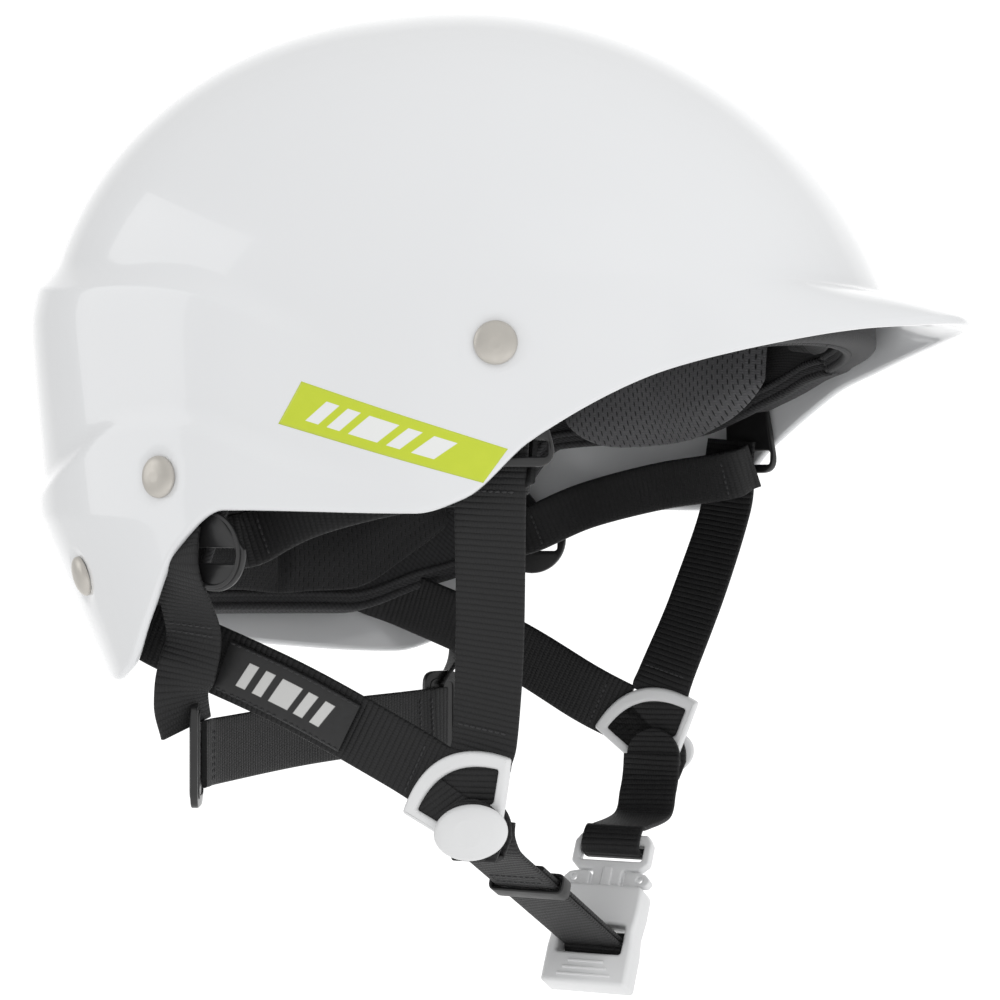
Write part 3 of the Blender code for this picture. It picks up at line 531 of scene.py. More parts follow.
def plate(name, outlines, low, high, place, bevel=0.5, steps=3):
    """Closed outlines in local X, Y (holes after the first) as a plate with rounded edges."""
    curve = bpy.data.curves.new(name, "CURVE")
    curve.dimensions = "2D"
    curve.fill_mode = "BOTH"
    curve.extrude = (high - low) / 2 - bevel
    curve.bevel_depth = bevel
    curve.bevel_resolution = steps
    curve.offset = -bevel
    for outline in outlines:
        spline = curve.splines.new("POLY")
        spline.points.add(len(outline) - 1)
        spline.points.foreach_set("co", [n for x, y in outline for n in (x, y, 0, 1)])
        spline.use_cyclic_u = True
    flat = linked(name + "_outline", curve)
    bpy.context.view_layer.update()
    mesh = bpy.data.meshes.new_from_object(flat.evaluated_get(bpy.context.evaluated_depsgraph_get()))
    bpy.data.objects.remove(flat, do_unlink=True)
    bm = bmesh.new()
    bm.from_mesh(mesh)
    bmesh.ops.remove_doubles(bm, verts=bm.verts, dist=0.001)
    bm.to_mesh(mesh)
    bm.free()
    while mesh.uv_layers:
        mesh.uv_layers.remove(mesh.uv_layers[0])
    layer = mesh.uv_layers.new(name="UVMap")
    for loop in mesh.loops:
        layer.data[loop.index].uv = mesh.vertices[loop.vertex_index].co.xy
    middle = Matrix.Translation((0, 0, (low + high) / 2))
    mesh.transform(Matrix.Scale(MM, 4) @ place @ middle)
    mesh.shade_smooth()
    mesh.set_sharp_from_angle(angle=math.radians(40))
    return outward(linked(name, mesh))


def softened(points, radius, count=5):
    """An outline with its corners rounded by arcs."""
    out = []
    size = len(points)
    for i in range(size):
        a, b, c = (Vector((*points[(i + k) % size], 0)) for k in (-1, 0, 1))
        back, on = a - b, c - b
        turn = math.pi - back.angle(on)
        if turn < 0.12:
            out.append((b.x, b.y))
            continue
        reach = min(radius * math.tan(turn / 2), back.length * 0.48, on.length * 0.48)
        start, end = b + back.normalized() * reach, b + on.normalized() * reach
        for k in range(count + 1):
            t = k / count
            p = start * (1 - t) ** 2 + b * 2 * t * (1 - t) + end * t * t
            out.append((p.x, p.y))
    return out


def oblong(half, low, high, radius, middle=0.0, count=5):
    """A rounded oblong outline, from low to high and half to each side of its middle."""
    return softened([(middle - half, low), (middle + half, low), (middle + half, high),
                     (middle - half, high)], radius, count)


def turned(name, profile, place, segments=56, oval=1.0, round_below=0.0):
    """A closed profile of (radius, height) points, from axis to axis, turned about local Z."""
    turn = np.radians(np.arange(segments) * 360.0 / segments)
    verts, uvs = [(0, 0, profile[0][1])], [(0, 0)]
    for radius, height in profile[1:-1]:
        narrow = oval if radius > round_below else 1.0
        for a in turn:
            verts.append((radius * math.cos(a), narrow * radius * math.sin(a), height))
            uvs.append(verts[-1][:2])
    verts.append((0, 0, profile[-1][1]))
    uvs.append((0, 0))
    faces = polar_faces(len(profile) - 2, segments)
    verts = [place @ Vector(v) for v in verts]
    return outward(mesh_piece(name, verts, faces, uvs, sharp=50))


def arc_profile(points, count=4):
    """A (radius, height) profile with its inner corners smoothed."""
    out = [points[0]]
    for i in range(1, len(points) - 1):
        a, b, c = (Vector(points[k]) for k in (i - 1, i, i + 1))
        for k in range(count + 1):
            t = k / count
            p = (b + (a - b) * 0.3) * (1 - t) ** 2 + b * 2 * t * (1 - t) + (b + (c - b) * 0.3) * t * t
            out.append((max(p.x, 0.05), p.y))
    return out + [points[-1]]


def spline(stations, step=1.0):
    """Points and width directions about one step apart along a smooth curve through stations."""
    points = [Vector(p) for p, _ in stations]
    sides = [Vector(w).normalized() for _, w in stations]
    out = []
    for i in range(len(points) - 1):
        before = points[i - 1] if i else points[0] * 2 - points[1]
        after = points[i + 2] if i + 2 < len(points) else points[-1] * 2 - points[-2]
        count = max(3, round((points[i + 1] - points[i]).length / step))
        for k in range(count + (1 if i == len(points) - 2 else 0)):
            t = k / count
            here = 0.5 * (2 * points[i] + (points[i + 1] - before) * t
                          + (2 * before - 5 * points[i] + 4 * points[i + 1] - after) * t ** 2
                          + (3 * points[i] - before - 3 * points[i + 1] + after) * t ** 3)
            ease = t * t * (3 - 2 * t)
            out.append((here, sides[i].lerp(sides[i + 1], ease).normalized()))
    return out


def frames_along(path):
    """(point, along, side, up, distance) at each point of a spline."""
    out, gone = [], 0.0
    for i, (here, side) in enumerate(path):
        ahead = (path[min(i + 1, len(path) - 1)][0] - path[max(i - 1, 0)][0]).normalized()
        side = (side - ahead * side.dot(ahead)).normalized()
        gone += (here - path[i - 1][0]).length if i else 0.0
        out.append((here, ahead, side, ahead.cross(side), gone))
    return out


def tape(name, stations, width=20.0, thickness=1.5, step=1.0, cup=0.0, unit_uv=False):
    """Flat webbing with rounded selvedges, its UVs in millimetres (or from 0 to 1)."""
    path = frames_along(spline(stations, step))
    half, rim = width / 2, thickness / 2
    section = [(-half + 0.35 * rim, rim * 0.75), (-half + rim, rim)]
    section += [(x, rim) for x in np.linspace(-half + rim, half - rim, 9)[1:-1]]
    section += [(half - rim, rim), (half - 0.35 * rim, rim * 0.75), (half, 0)]
    section += [(x, -y) for x, y in reversed(section[:-1])] + [(-half, 0)]
    total = path[-1][4]
    verts, uvs = [], []
    for here, _, side, up, gone in path:
        for x, y in section:
            dip = cup * (1 - (x / half) ** 2)
            verts.append(here + side * x + up * (y + dip))
            uvs.append((gone / total, (x + half) / width) if unit_uv else (x, gone))
    count = len(section)
    faces = grid_faces(len(path), count, 0, True)
    faces += [tuple(range(count)), tuple(range(len(verts) - 1, len(verts) - 1 - count, -1))]
    return outward(mesh_piece(name, verts, faces, uvs, sharp=60))


def stitched(name, runs, pitch=1.9, length=1.5, radius=0.36):
    """Thread lying in separate stitches along runs of (start, end, normal)."""
    verts, faces = [], []
    for start, end, normal in runs:
        start, end, normal = Vector(start), Vector(end), Vector(normal).normalized()
        run = end - start
        along = run.normalized()
        across = normal.cross(along).normalized()
        for k in range(max(1, int(run.length / pitch))):
            middle = start + along * (k + 0.5) * pitch
            base = len(verts)
            rings = [(-0.5, 0.25), (-0.36, 0.8), (0, 1.0), (0.36, 0.8), (0.5, 0.25)]
            for t, wide in rings:
                for j in range(8):
                    a = j * math.pi / 4
                    lift = radius * wide * math.sin(a) * 0.8 + 0.12 * (1 - abs(2 * t)) - 0.05
                    verts.append(middle + along * (t * length) + across * (radius * wide * math.cos(a))
                                 + normal * lift)
            faces += grid_faces(5, 8, base, True)
            faces += [tuple(base + j for j in range(7, -1, -1)), tuple(base + 32 + j for j in range(8))]
    return outward(mesh_piece(name, verts, faces))


def bead_along(name, points, radius, sides=10):
    """A thin closed bead along points, with UVs in millimetres."""
    points = [Vector(p) for p in points]
    count = len(points)
    verts, uvs, gone = [], [], 0.0
    for i, here in enumerate(points):
        ahead = (points[(i + 1) % count] - points[i - 1]).normalized()
        side = ahead.cross(Vector((0, 0, 1))).normalized()
        up = side.cross(ahead)
        gone += (here - points[i - 1]).length if i else 0.0
        for k in range(sides):
            a = 2 * math.pi * k / sides
            verts.append(here + side * (radius * math.cos(a)) + up * (radius * math.sin(a)))
            uvs.append((radius * a, gone))
    last = (count - 1) * sides
    faces = grid_faces(count, sides, 0, True)
    faces += [(last + k, last + (k + 1) % sides, (k + 1) % sides, k) for k in range(sides)]
    return outward(mesh_piece(name, verts, faces, uvs))


# ---------------------------------------------------------------- shell and decals
def dimpled(points, normals):
    """Points with a shallow seat pressed in under each rivet and two slots beside the crown."""
    out = points.copy()
    for which in RIVETS:
        for side, _ in SIDES:
            place = rivet_frame(which, side)
            away = np.linalg.norm(points - np.array(place.translation), axis=-1)
            out -= normals * (0.5 * smoothstep((8.4 - away) / 1.9))[..., None]
    for side in (-1, 1):
        lens = ((points[..., 0] - 5) / 13.5) ** 2 + ((points[..., 1] - side * 17.5) / 3.4) ** 2
        near = points[..., 2] > 10
        out -= normals * (near * 1.1 * smoothstep((1.15 - lens) / 0.5))[..., None]
    return out


def make_shell():
    columns = 432
    angle = np.arange(columns) * 360.0 / columns
    dome = dome_z(np.arange(1, 101) / 100)
    dome = np.concatenate([dome[dome > CREASE_Z + 3.0], CREASE_Z + np.array([2.5, 1.7, 1.1, 0.6, 0.25])])
    share = np.linspace(0, 1, 76)
    low = rim_z(angle) + 1.4
    z = np.concatenate([np.repeat(dome[:, None], columns, 1),
                        CREASE_Z + (low - CREASE_Z)[None, :] * share[:, None]])
    angles = np.repeat(angle[None, :], len(z), 0)
    normals = wall_normal(angles, z)
    skin = dimpled(wall(angles, z), normals)
    keep = np.r_[0:len(dome) - 5:4, len(dome) - 3, len(dome):len(z) - 1:5, len(z) - 1]
    inner = wall(angles, z)[keep] - normals[keep] * SHELL_THICKNESS
    edge, out = wall(angle, low), normals[-1]
    down = wall(angle, low - 0.6) - wall(angle, low + 0.6)
    down -= out * (down * out).sum(-1, keepdims=True)
    down /= np.linalg.norm(down, axis=-1, keepdims=True)
    half = SHELL_THICKNESS / 2
    lip = [edge - out * half + half * (math.cos(a) * out + math.sin(a) * down)
           for a in np.linspace(0, math.pi, 9)[1:-1]]
    top = CENTRE_X - LEAN * (CROWN_Z + 60)
    rows = [skin.reshape(-1, 3)] + lip + [inner[::-1].reshape(-1, 3)]
    verts = np.concatenate([[[top, 0, CROWN_Z]]] + rows + [[[top, 0, CROWN_Z - SHELL_THICKNESS]]])
    count = (len(verts) - 2) // columns
    faces = polar_faces(count, columns)
    finished(outward(mesh_piece("shell_skin", verts, faces)), WHITE, "outer_shell")


def make_decals():
    """A thin printed strip on each flank, tapering with the rim at its front end."""
    corners = {"top": ((88.5, -92.4), (59.3, -111.2)), "low": ((92.0, -104.0), (62.6, -120.4))}
    long, tall = 72, 16
    u, v = np.meshgrid(np.linspace(0, 1, long), np.linspace(0, 1, tall))
    ends = {k: [np.array(p, float) for p in pair] for k, pair in corners.items()}
    upper = ends["top"][0] + (ends["top"][1] - ends["top"][0]) * u[..., None]
    lower = ends["low"][0] + (ends["low"][1] - ends["low"][0]) * u[..., None]
    spot = lower + (upper - lower) * v[..., None]
    for side, word in SIDES:
        angle, z = spot[..., 0] * side, spot[..., 1]
        points, normals = wall(angle, z), wall_normal(angle, z)
        edge = np.minimum(np.minimum(u, 1 - u) * 40, np.minimum(v, 1 - v) * 12)
        lift = 0.05 + 0.1 * smoothstep(edge * 2)
        verts = np.concatenate([(points + normals * lift[..., None]).reshape(-1, 3),
                                (points - normals * 0.05).reshape(-1, 3)])
        uv = np.stack([u, v], -1).reshape(-1, 2)
        if side > 0:
            uv = np.stack([1 - uv[:, 0], uv[:, 1]], -1)
        piece = mesh_piece(f"side_decal_{word}", verts, slab_faces(tall, long), np.concatenate([uv, uv]))
        piece = outward(piece)
        finished(piece, LIME, body="helmet")


# ---------------------------------------------------------------- liner and pads
PLAIN = {"steps": False, "brim": False}


def pocketed(points):
    """How far, from 0 to 1, the liner is cut back at each point to clear rivets and hangers."""
    share = np.zeros(points.shape[:-1])
    for which, (down, spread) in (("temple", (44.0, 17.5)), ("side", (44.0, 23.0)), ("nape", (13.0, 11.0))):
        for side, _ in SIDES:
            place = np.array(rivet_frame(which, side).inverted())
            local = points @ place[:3, :3].T + place[:3, 3]
            x, y, deep = local[..., 0], local[..., 1], local[..., 2]
            wide = np.where(y > 0, 12.0, 12.0 + (spread - 12.0) * np.clip(-y / 20.0, 0, 1))
            here = smoothstep((wide - np.abs(x)) / 4) * smoothstep((12.5 - y) / 4)
            here = here * smoothstep((down + y) / 4)
            share = np.maximum(share, here * (np.abs(deep) < 30))
    return share


def make_liner():
    columns = 288
    angle = np.arange(columns) * 360.0 / columns
    low = through(LINER_EDGE_Z, np.abs((angle + 180) % 360 - 180)) + 3.2
    dome = dome_z(np.arange(1, 31) / 30)
    share = np.linspace(0, 1, 46)[1:]
    z = np.concatenate([np.repeat(dome[:, None], columns, 1),
                        CREASE_Z + (low - CREASE_Z)[None, :] * share[:, None]])
    angles = np.repeat(angle[None, :], len(z), 0)
    base = wall(angles, z, **PLAIN)
    normals = wall_normal(angles, z, **PLAIN)
    depth = LINER_OUTER + (12.3 - LINER_OUTER) * pocketed(base)
    outer = base - normals * depth[..., None]
    inner = base - normals * LINER_INNER
    a, b = outer[-1], inner[-1]
    middle, reach = (a + b) / 2, (a - b) / 2
    lip = [middle + reach * math.cos(t) + np.array([0, 0, -3.2]) * math.sin(t)
           for t in np.linspace(0, math.pi, 11)[1:-1]]
    top = CENTRE_X - LEAN * (CROWN_Z + 60)
    verts = np.concatenate([[[top, 0, CROWN_Z - LINER_OUTER]], outer.reshape(-1, 3)] + lip
                           + [inner[::-1].reshape(-1, 3), [[top, 0, CROWN_Z - LINER_INNER]]])
    count = (len(verts) - 2) // columns
    faces = polar_faces(count, columns)
    around = np.abs((np.degrees(np.arctan2(verts[:, 1], verts[:, 0])) + 360) % 360 - 180) * 2.0
    rows_down = np.concatenate([[0], np.repeat(np.arange(count) * 1.6, columns), [count * 1.6]])
    uvs = np.stack([around, rows_down], -1)
    finished(outward(mesh_piece("liner_skin", verts, faces, uvs)), LINING, "foam_liner")
    for word, drop, deep, radius in (("lower", 0.9, 13.2, 1.5), ("upper", 4.6, 14.9, 1.2)):
        at = through(LINER_EDGE_Z, np.abs((angle + 180) % 360 - 180)) + drop
        bead = bead_along(f"liner_piping_{word}", inside(angle, at, deep, **PLAIN), radius)
        finished(bead, LINING, body="helmet")


def puffed(obj, cap):
    """Inflates a closed piece with Cloth, keeps each point within cap millimetres, and applies it."""
    rest = np.empty(len(obj.data.vertices) * 3)
    obj.data.vertices.foreach_get("co", rest)
    cloth = obj.modifiers.new("puff", "CLOTH")
    cloth.settings.quality = 5
    cloth.settings.use_pressure = True
    cloth.settings.uniform_pressure_force = 4.0
    cloth.settings.effector_weights.gravity = 0.0
    cloth.settings.tension_stiffness = 15.0
    cloth.settings.compression_stiffness = 15.0
    cloth.settings.shrink_min = 0.0
    cloth.point_cache.frame_start = 1
    cloth.point_cache.frame_end = 20
    scene = bpy.context.scene
    for step in range(1, 21):
        scene.frame_set(step)
    shaped = obj.evaluated_get(bpy.context.evaluated_depsgraph_get())
    moved = np.empty(len(rest))
    shaped.data.vertices.foreach_get("co", moved)
    move = (moved - rest).reshape(-1, 3)
    size = np.linalg.norm(move, axis=1, keepdims=True)
    move *= np.minimum(1.0, cap * MM / np.maximum(size, 1e-9))
    obj.modifiers.remove(cloth)
    obj.data.vertices.foreach_set("co", rest + move.ravel())
    obj.data.update()
    scene.frame_set(1)
    return obj


def make_pad(name, middle, half_angle, top_z, material, node, lift=2.0, pinch=()):
    """A cushion along the liner's inner face: crowned, its edge drawn in, with a channel at each pinch."""
    arc = math.radians(half_angle * 2) * 88.0
    columns = max(16, int(arc / 2.6))
    rows = 22
    u, v = np.meshgrid(np.linspace(-1, 1, columns + 1), np.linspace(-1, 1, rows + 1), indexing="ij")
    angle = middle + half_angle * u
    low = through(LINER_EDGE_Z, np.abs((angle + 180) % 360 - 180)) + lift + 0.6
    centre = (top_z - 0.6 + low) / 2
    half = (top_z - 0.6 - low) / 2 * (1 - 0.35 * np.abs(u) ** 5)
    z = centre + half * v
    crown = (1 - np.abs(u) ** 4) * (1 - np.abs(v) ** 4)
    seam = np.minimum((1 - np.abs(u)) * half_angle * 1.4, (1 - np.abs(v)) * 22.0)
    open_ = np.sqrt(np.clip(seam / 5.0, 0, 1)) * 0.92 + 0.08
    thick = (4.0 + 6.2 * crown) * open_
    for at, wide in pinch:
        thick = thick * (1 - 0.5 * np.exp(-((u - at) * half_angle * 1.5 / wide) ** 2))
    middle_depth = PAD_DEPTH + 2.0
    back = middle_depth - np.minimum(thick * 0.5, 2.0) * open_
    front = middle_depth + (thick - np.minimum(thick * 0.5, 2.0) * open_)
    sides = [inside(angle, z, d, **PLAIN).reshape(-1, 3) for d in (back, front)]
    faces = slab_faces(columns + 1, rows + 1)
    uv = np.stack([angle * 1.55, z], -1).reshape(-1, 2)
    pad = outward(mesh_piece(name, np.concatenate(sides), faces, np.concatenate([uv, uv])))
    puffed(pad, PUFF_CAP)
    smooth = pad.modifiers.new("smooth", "SUBSURF")
    smooth.levels = smooth.render_levels = 1
    baked(pad)
    pad.data.shade_smooth()
    finished(pad, material, node)


def make_crown_pad():
    place = Matrix.Identity(4)
    profile = [(0, 8.0), (10, 7.9), (20, 7.2), (28, 6.0), (33, 4.7), (36.2, 3.2), (36.9, 2.2), (36.2, 1.2),
               (33, 0.5), (28, 0.25), (20, 0.1), (10, 0.0), (0, 0.0)]
    pad = turned("crown_cushion", arc_profile(profile, 3), place, segments=72)
    finished(pad, GREY_MESH, "crown_pad")


# ---------------------------------------------------------------- rivets and hangers
def make_rivets():
    for which in RIVETS:
        stack = RIVET_STACKS[which]
        for side, word in SIDES:
            place = rivet_frame(which, side)
            head = [(0, 2.1), (1.6, 2.06), (3.1, 1.9), (4.4, 1.55), (5.3, 1.1), (5.85, 0.55), (6.0, 0.1),
                    (5.9, -0.45), (5.5, -0.55)]
            tail = [(2.3, -0.6), (2.3, -stack - 1.7), (3.8, -stack - 1.9), (3.7, -stack - 2.5),
                    (3.0, -stack - 2.9), (0, -stack - 3.0)]
            finished(turned(f"rivet_cap_{which}_{word}", head + tail, place), NICKEL,
                     f"rivet_{which}_{word}")
            ring = [(math.cos(a), math.sin(a)) for a in np.radians(np.arange(0, 360, 8))]
            washer = plate(f"rivet_washer_{which}_{word}",
                           [[(6.0 * x, 6.0 * y) for x, y in ring], [(2.6 * x, 2.6 * y) for x, y in ring]],
                           -stack - 1.3, -stack, place, bevel=0.25, steps=2)
            finished(washer, STEEL, f"washer_{which}_{word}")


def circle(radius, count=36, centre=(0, 0)):
    return [(centre[0] + radius * math.cos(2 * math.pi * k / count),
             centre[1] + radius * math.sin(2 * math.pi * k / count)) for k in range(count)]


def make_hangers():
    for side, word in SIDES:
        place = rivet_frame("temple", side)
        forward = 6.0 if place.col[0].x > 0 else -6.0
        top = [(8.3 * math.cos(a), 8.3 * math.sin(a)) for a in np.linspace(0, math.pi, 17)]
        foot = [(forward - 11.3, -33.9), (forward + 11.3, -33.9)]
        outline = top[:-1] + [top[-1]] + softened([top[-1]] + foot + [top[0]], 5.5, 8)[6:-6]
        hanger = plate(f"front_hook_{word}", [outline, oblong(8, -31, -26.5, 1.2, forward), circle(2.7, 24)],
                       -6.3, -4.1, place, bevel=0.8)
        finished(hanger, PLASTIC, f"front_hanger_{word}")

        place = rivet_frame("side", side)
        forward = 13.5 if place.col[0].x > 0 else -13.5
        lean = place @ Matrix.Rotation(math.radians(5.0), 4, "X")
        arm = [(8 * math.cos(a), 8 * math.sin(a)) for a in np.linspace(0, math.pi, 15)]
        disc = [(forward + 12 * math.cos(a), -21 + 12 * math.sin(a))
                for a in np.linspace(math.pi, 2 * math.pi, 25)]
        slot = oblong(9, -25, -20.5, 1.2, forward)
        body = plate(f"rear_hook_{word}", [arm + disc, slot, circle(2.7, 24)], -6.8, -4.9, lean, bevel=0.6)
        rim = plate("rim", [circle(11.2, 40, (forward, -21)), circle(9.9, 40, (forward, -21))],
                    -5.1, -4.2, lean, bevel=0.35)
        hanger = joined(f"rear_hook_{word}", [body, rim])
        finished(hanger, PLASTIC, f"rear_hanger_{word}")


# ---------------------------------------------------------------- webbing above the rings
FRONT_SLING = (((56.2, -93.6, -105), (1, 0.32, 0)), ((55.5, -93.2, -112), (1, 0.3, 0)),
               ((54.5, -92.4, -128), (1, 0.22, 0)), ((50, -83.0, -162), (1, 0.1, 0.05)),
               ((44.6, -74.6, -190), (1, 0, 0.05)), ((42.6, -74.2, -199), (1, 0, 0.05)))
REAR_SLING = (((-79, -75.0, -154), (0.45, -0.1, 0.88)), ((-70, -79.5, -159), (0.45, -0.1, 0.88)),
              ((-56, -82.6, -165), (0.42, 0.05, 0.9)),
              ((-16, -79.0, -181), (0.42, 0, 0.9)), ((16, -73.2, -197.6), (0.5, 0, 0.87)),
              ((30, -74.2, -204.5), (0.55, 0, 0.84)))
INTERCONNECT = (((66, -88.5, -113.5), (0.1, 0.3, 1)), ((58, -84.5, -117), (0.1, 0.2, 1)),
                ((30, -93.0, -120.5), (0.1, 0.1, 1)),
                ((2, -96.0, -127), (0.15, 0, 1)), ((-17, -94.5, -135), (0.2, 0, 1)),
                ((-24, -96.5, -137), (0.2, 0, 1)))
DROP_STRAP = (((-39.5, -93.4, -163), (1, 0.12, 0)), ((-42.5, -92.0, -174), (0.9, 0.42, 0)),
              ((-46.0, -89.6, -182.5), (0.55, 0.83, 0)), ((-48.0, -83.6, -191.5), (0.42, 0.91, 0)))


def flipped(stations, side, drawn_up=False):
    """Right-side stations taken to a side; slings on the left then follow their higher ring."""
    out = []
    for point, across in stations:
        point = mirrored(point, side)
        share = float(np.clip((-128.0 - point.z) / 72.0, 0, 1)) if drawn_up and side > 0 else 0.0
        out.append((point + LEFT_SHIFT * share, mirrored(across, side)))
    return out


def drop_stations(side):
    """From the rear hanger's slot, over its disc and down to the nape plate."""
    place = rivet_frame("side", side)
    ahead = 3.5 if place.col[0].x > 0 else -3.5
    across = place.to_3x3().col[0] * (1 if ahead > 0 else -1)
    top = [(place @ Vector((ahead, y, z)), across) for y, z in ((-14.0, -4.2), (-18.5, -3.2), (-27.0, -3.6))]
    return top + flipped(DROP_STRAP, side)


def across_stitches(path, share, half):
    """One stitched row straight across a tape at a share of its length, on both faces."""
    here, _, side, up, _ = path[int(share * (len(path) - 1))]
    return [(here - side * half + up * lift, here + side * half + up * lift, up * lift)
            for lift in (0.78, -0.78)]


def make_upper_webbing():
    for side, word in SIDES:
        plan = (("front_sling", FRONT_SLING, 20.0), ("rear_sling", REAR_SLING, 20.0),
                ("interconnect_strap", INTERCONNECT, 16.0), ("drop_strap", DROP_STRAP, 17.0))
        for kind, stations, width in plan:
            stations = flipped(stations, side, kind in ("front_sling", "rear_sling"))
            if kind == "drop_strap":
                stations = drop_stations(side)
            strap = tape(f"{kind}_tape_{word}", stations, width)
            finished(strap, TAPE, f"{kind}_{word}")
            path = frames_along(spline(stations))
            shares = {"front_sling": (0.2, 0.9), "rear_sling": (0.1, 0.92),
                      "interconnect_strap": (0.12, 0.9), "drop_strap": (0.5, 0.56)}[kind]
            runs = [run for share in shares for run in across_stitches(path, share, width / 2 - 1.6)]
            rows = stitched(f"{kind}_stitch_{word}", runs)
            finished(rows, THREAD, body=BODY_OF[f"{kind}_{word}"])

        across = mirrored((-0.42, 0.91, 0), side)
        place = placed(mirrored((-46.0, -81.0, -199.5), side), across, across.cross(Vector((0, 0, 1))))
        outline = oblong(7.5, -15.5, 15.5, 4.5)
        body = plate("body", [outline], -1.1, 1.1, place, bevel=0.5)
        bar = plate("bar", [oblong(5.6, -13, 13, 3), oblong(4.4, -11.8, 11.8, 2)], -1.5, 1.5, place,
                    bevel=0.3)
        finished(joined(f"nape_fitting_{word}", [body, bar]), PLASTIC, f"nape_plate_{word}")
    nape = (((-43.6, -80.6, -199.5), (0, 0, 1)), ((-44.8, -76.0, -199.5), (0, 0, 1)),
            ((-49.5, -60, -200), (0, 0, 1)),
            ((-54, 0, -200), (0, 0, 1)), ((-49.5, 60, -200), (0, 0, 1)),
            ((-44.8, 76.0, -199.5), (0, 0, 1)), ((-43.6, 80.6, -199.5), (0, 0, 1)))
    finished(tape("nape_tape", nape, 20.0), TAPE, "nape_strap")
    path = frames_along(spline(nape))
    runs = [run for share in (0.06, 0.1, 0.9, 0.94) for run in across_stitches(path, share, 8.4)]
    finished(stitched("nape_stitch", runs), THREAD,
             body="nape_cradle")


def make_label():
    """A moulded rubber patch sewn to the right rear sling, with plain slanted bars."""
    path = spline(REAR_SLING, 1.0)
    gone, chosen = 0.0, []
    for i, (here, side) in enumerate(path):
        gone += (here - path[i - 1][0]).length if i else 0.0
        if 48 < gone < 93 and len(chosen) * 5 < gone - 46:
            chosen.append((here + Vector((0, -2.05, 0)), side))
    label = tape("label_patch_skin", chosen, 15.6, 1.3, 0.7, cup=0.25, unit_uv=True)
    finished(label, LABEL, "label_patch")
    path = frames_along(spline(chosen, 1.0))
    runs = []
    for edge in (-7.1, 7.1):
        for a, b in zip(path[::6], path[6::6]):
            up = a[3] if a[3].y < 0 else -a[3]
            runs.append((a[0] + a[2] * edge + up * 0.72, b[0] + b[2] * edge + up * 0.72, up))
    finished(stitched("label_stitch", runs, 2.0, 1.55, 0.34), THREAD, body="helmet")


# ---------------------------------------------------------------- rings, tabs and buttons
def ring_outline(half, shoulder, sagitta, foot, top=25, low=13):
    points = []
    for k in range(top):
        u = 1 - 2 * k / (top - 1)
        points.append((half * u, shoulder + sagitta * (1 - u * u)))
    for k in range(low):
        a = math.pi * (1.08 + 0.84 * k / (low - 1))
        points.append((foot * math.cos(a), foot * math.sin(a)))
    return points


def window_folds(side):
    """Outlines in the ring's plane of the front sling's loop and, over it, the rear sling's."""
    ahead, tilt = -side, math.radians(RING_TILTS[side])
    arch = ring_outline(14.8, 13.0, 5.4, 4.5)[:25]
    rear = [(-4.0, 18.2)] + [point for point in arch if point[0] < -4.0] + [(-9.0, 4.1), (4.5, 4.1)]
    whole = arch + [(-9.0, 4.1), (9.0, 4.1)]
    shapes = (("front", whole, 0.0, 0.1), ("rear", rear, 35.0, 0.55))
    return [(part, [(x * ahead, y) for x, y in edge], ahead * (math.radians(rise) - tilt), high)
            for part, edge, rise, high in shapes]


def make_rings_and_tabs():
    for side, word in SIDES:
        place = ring_frame(side)
        outline = softened(ring_outline(18.8, 13.6, 8.8, 7.6), 2.8)
        window = softened(ring_outline(14.2, 12.4, 5.4, 4.5)[:25] + [(-8.4, 4.7), (8.4, 4.7)], 2.0)
        ring = plate(f"strap_ring_skin_{word}", [outline, window, circle(2.5, 24)], -RING_HALF, RING_HALF,
                     place, bevel=1.15, steps=4)
        finished(ring, ACETAL, f"strap_ring_{word}")

        for part, edge, turn, high in window_folds(side):
            back = Matrix.Rotation(-turn, 2)
            edge = [tuple(back @ Vector(point)) for point in edge]
            fold = plate(f"sling_fold_{part}_{word}", [edge], -1.1, high,
                         place @ Matrix.Rotation(turn, 4, "Z"), bevel=0.2, steps=2)
            finished(fold, TAPE, body="helmet")

        pivot = RING_PIVOTS[side]
        upright = placed(pivot, (1, 0, 0) if side < 0 else (-1, 0, 0), CHIN_AXIS * side)
        top = [(TAB_RADIUS * math.cos(a), TAB_RADIUS * math.sin(a)) for a in np.linspace(0, math.pi, 25)]
        outline = top + [(-TAB_RADIUS, -2.5), (-6.6, -8.4), (6.6, -8.4), (TAB_RADIUS, -2.5)]
        layers = [plate("layer", [outline], low, high, upright, bevel=0.45)
                  for low, high in ((TAB_GAP, TAB_FACE), (-TAB_FACE, -TAB_GAP))]
        foot = [(-6.5, -8.6), (6.5, -8.6), (6.5, -7.4), (-6.5, -7.4)]
        layers.append(plate("foot", [foot], -3.2, 3.2, upright, bevel=0.3))
        tab = joined(f"chin_tab_skin_{word}", layers)
        finished(tab, TAPE, f"chin_tab_{word}")
        rows = [(upright @ Vector((-5.4, -7.6, 3.72)), upright @ Vector((5.4, -7.6, 3.72)), CHIN_AXIS * side)]
        finished(stitched(f"chin_tab_stitch_{word}", rows), THREAD,
                 body="chin_loop")

        rise = math.radians(BUTTON_RISE)
        place = placed(pivot, (math.cos(rise), 0, math.sin(rise)), CHIN_AXIS * side)
        face = BUTTON_FACE
        profile = [(0, face + 3.4), (4.0, face + 3.34), (7.6, face + 3.05), (9.9, face + 2.45),
                   (11.1, face + 1.6), (11.5, face + 0.9), (11.3, face + 0.3), (10.6, face + 0.02),
                   (5.6, face), (2.1, face - 0.02), (2.1, -3.0), (0, -3.0)]
        button = turned(f"ring_button_skin_{word}", profile, place, segments=72, oval=BUTTON_OVAL,
                        round_below=5.5)
        finished(button, ACETAL, f"ring_button_{word}")


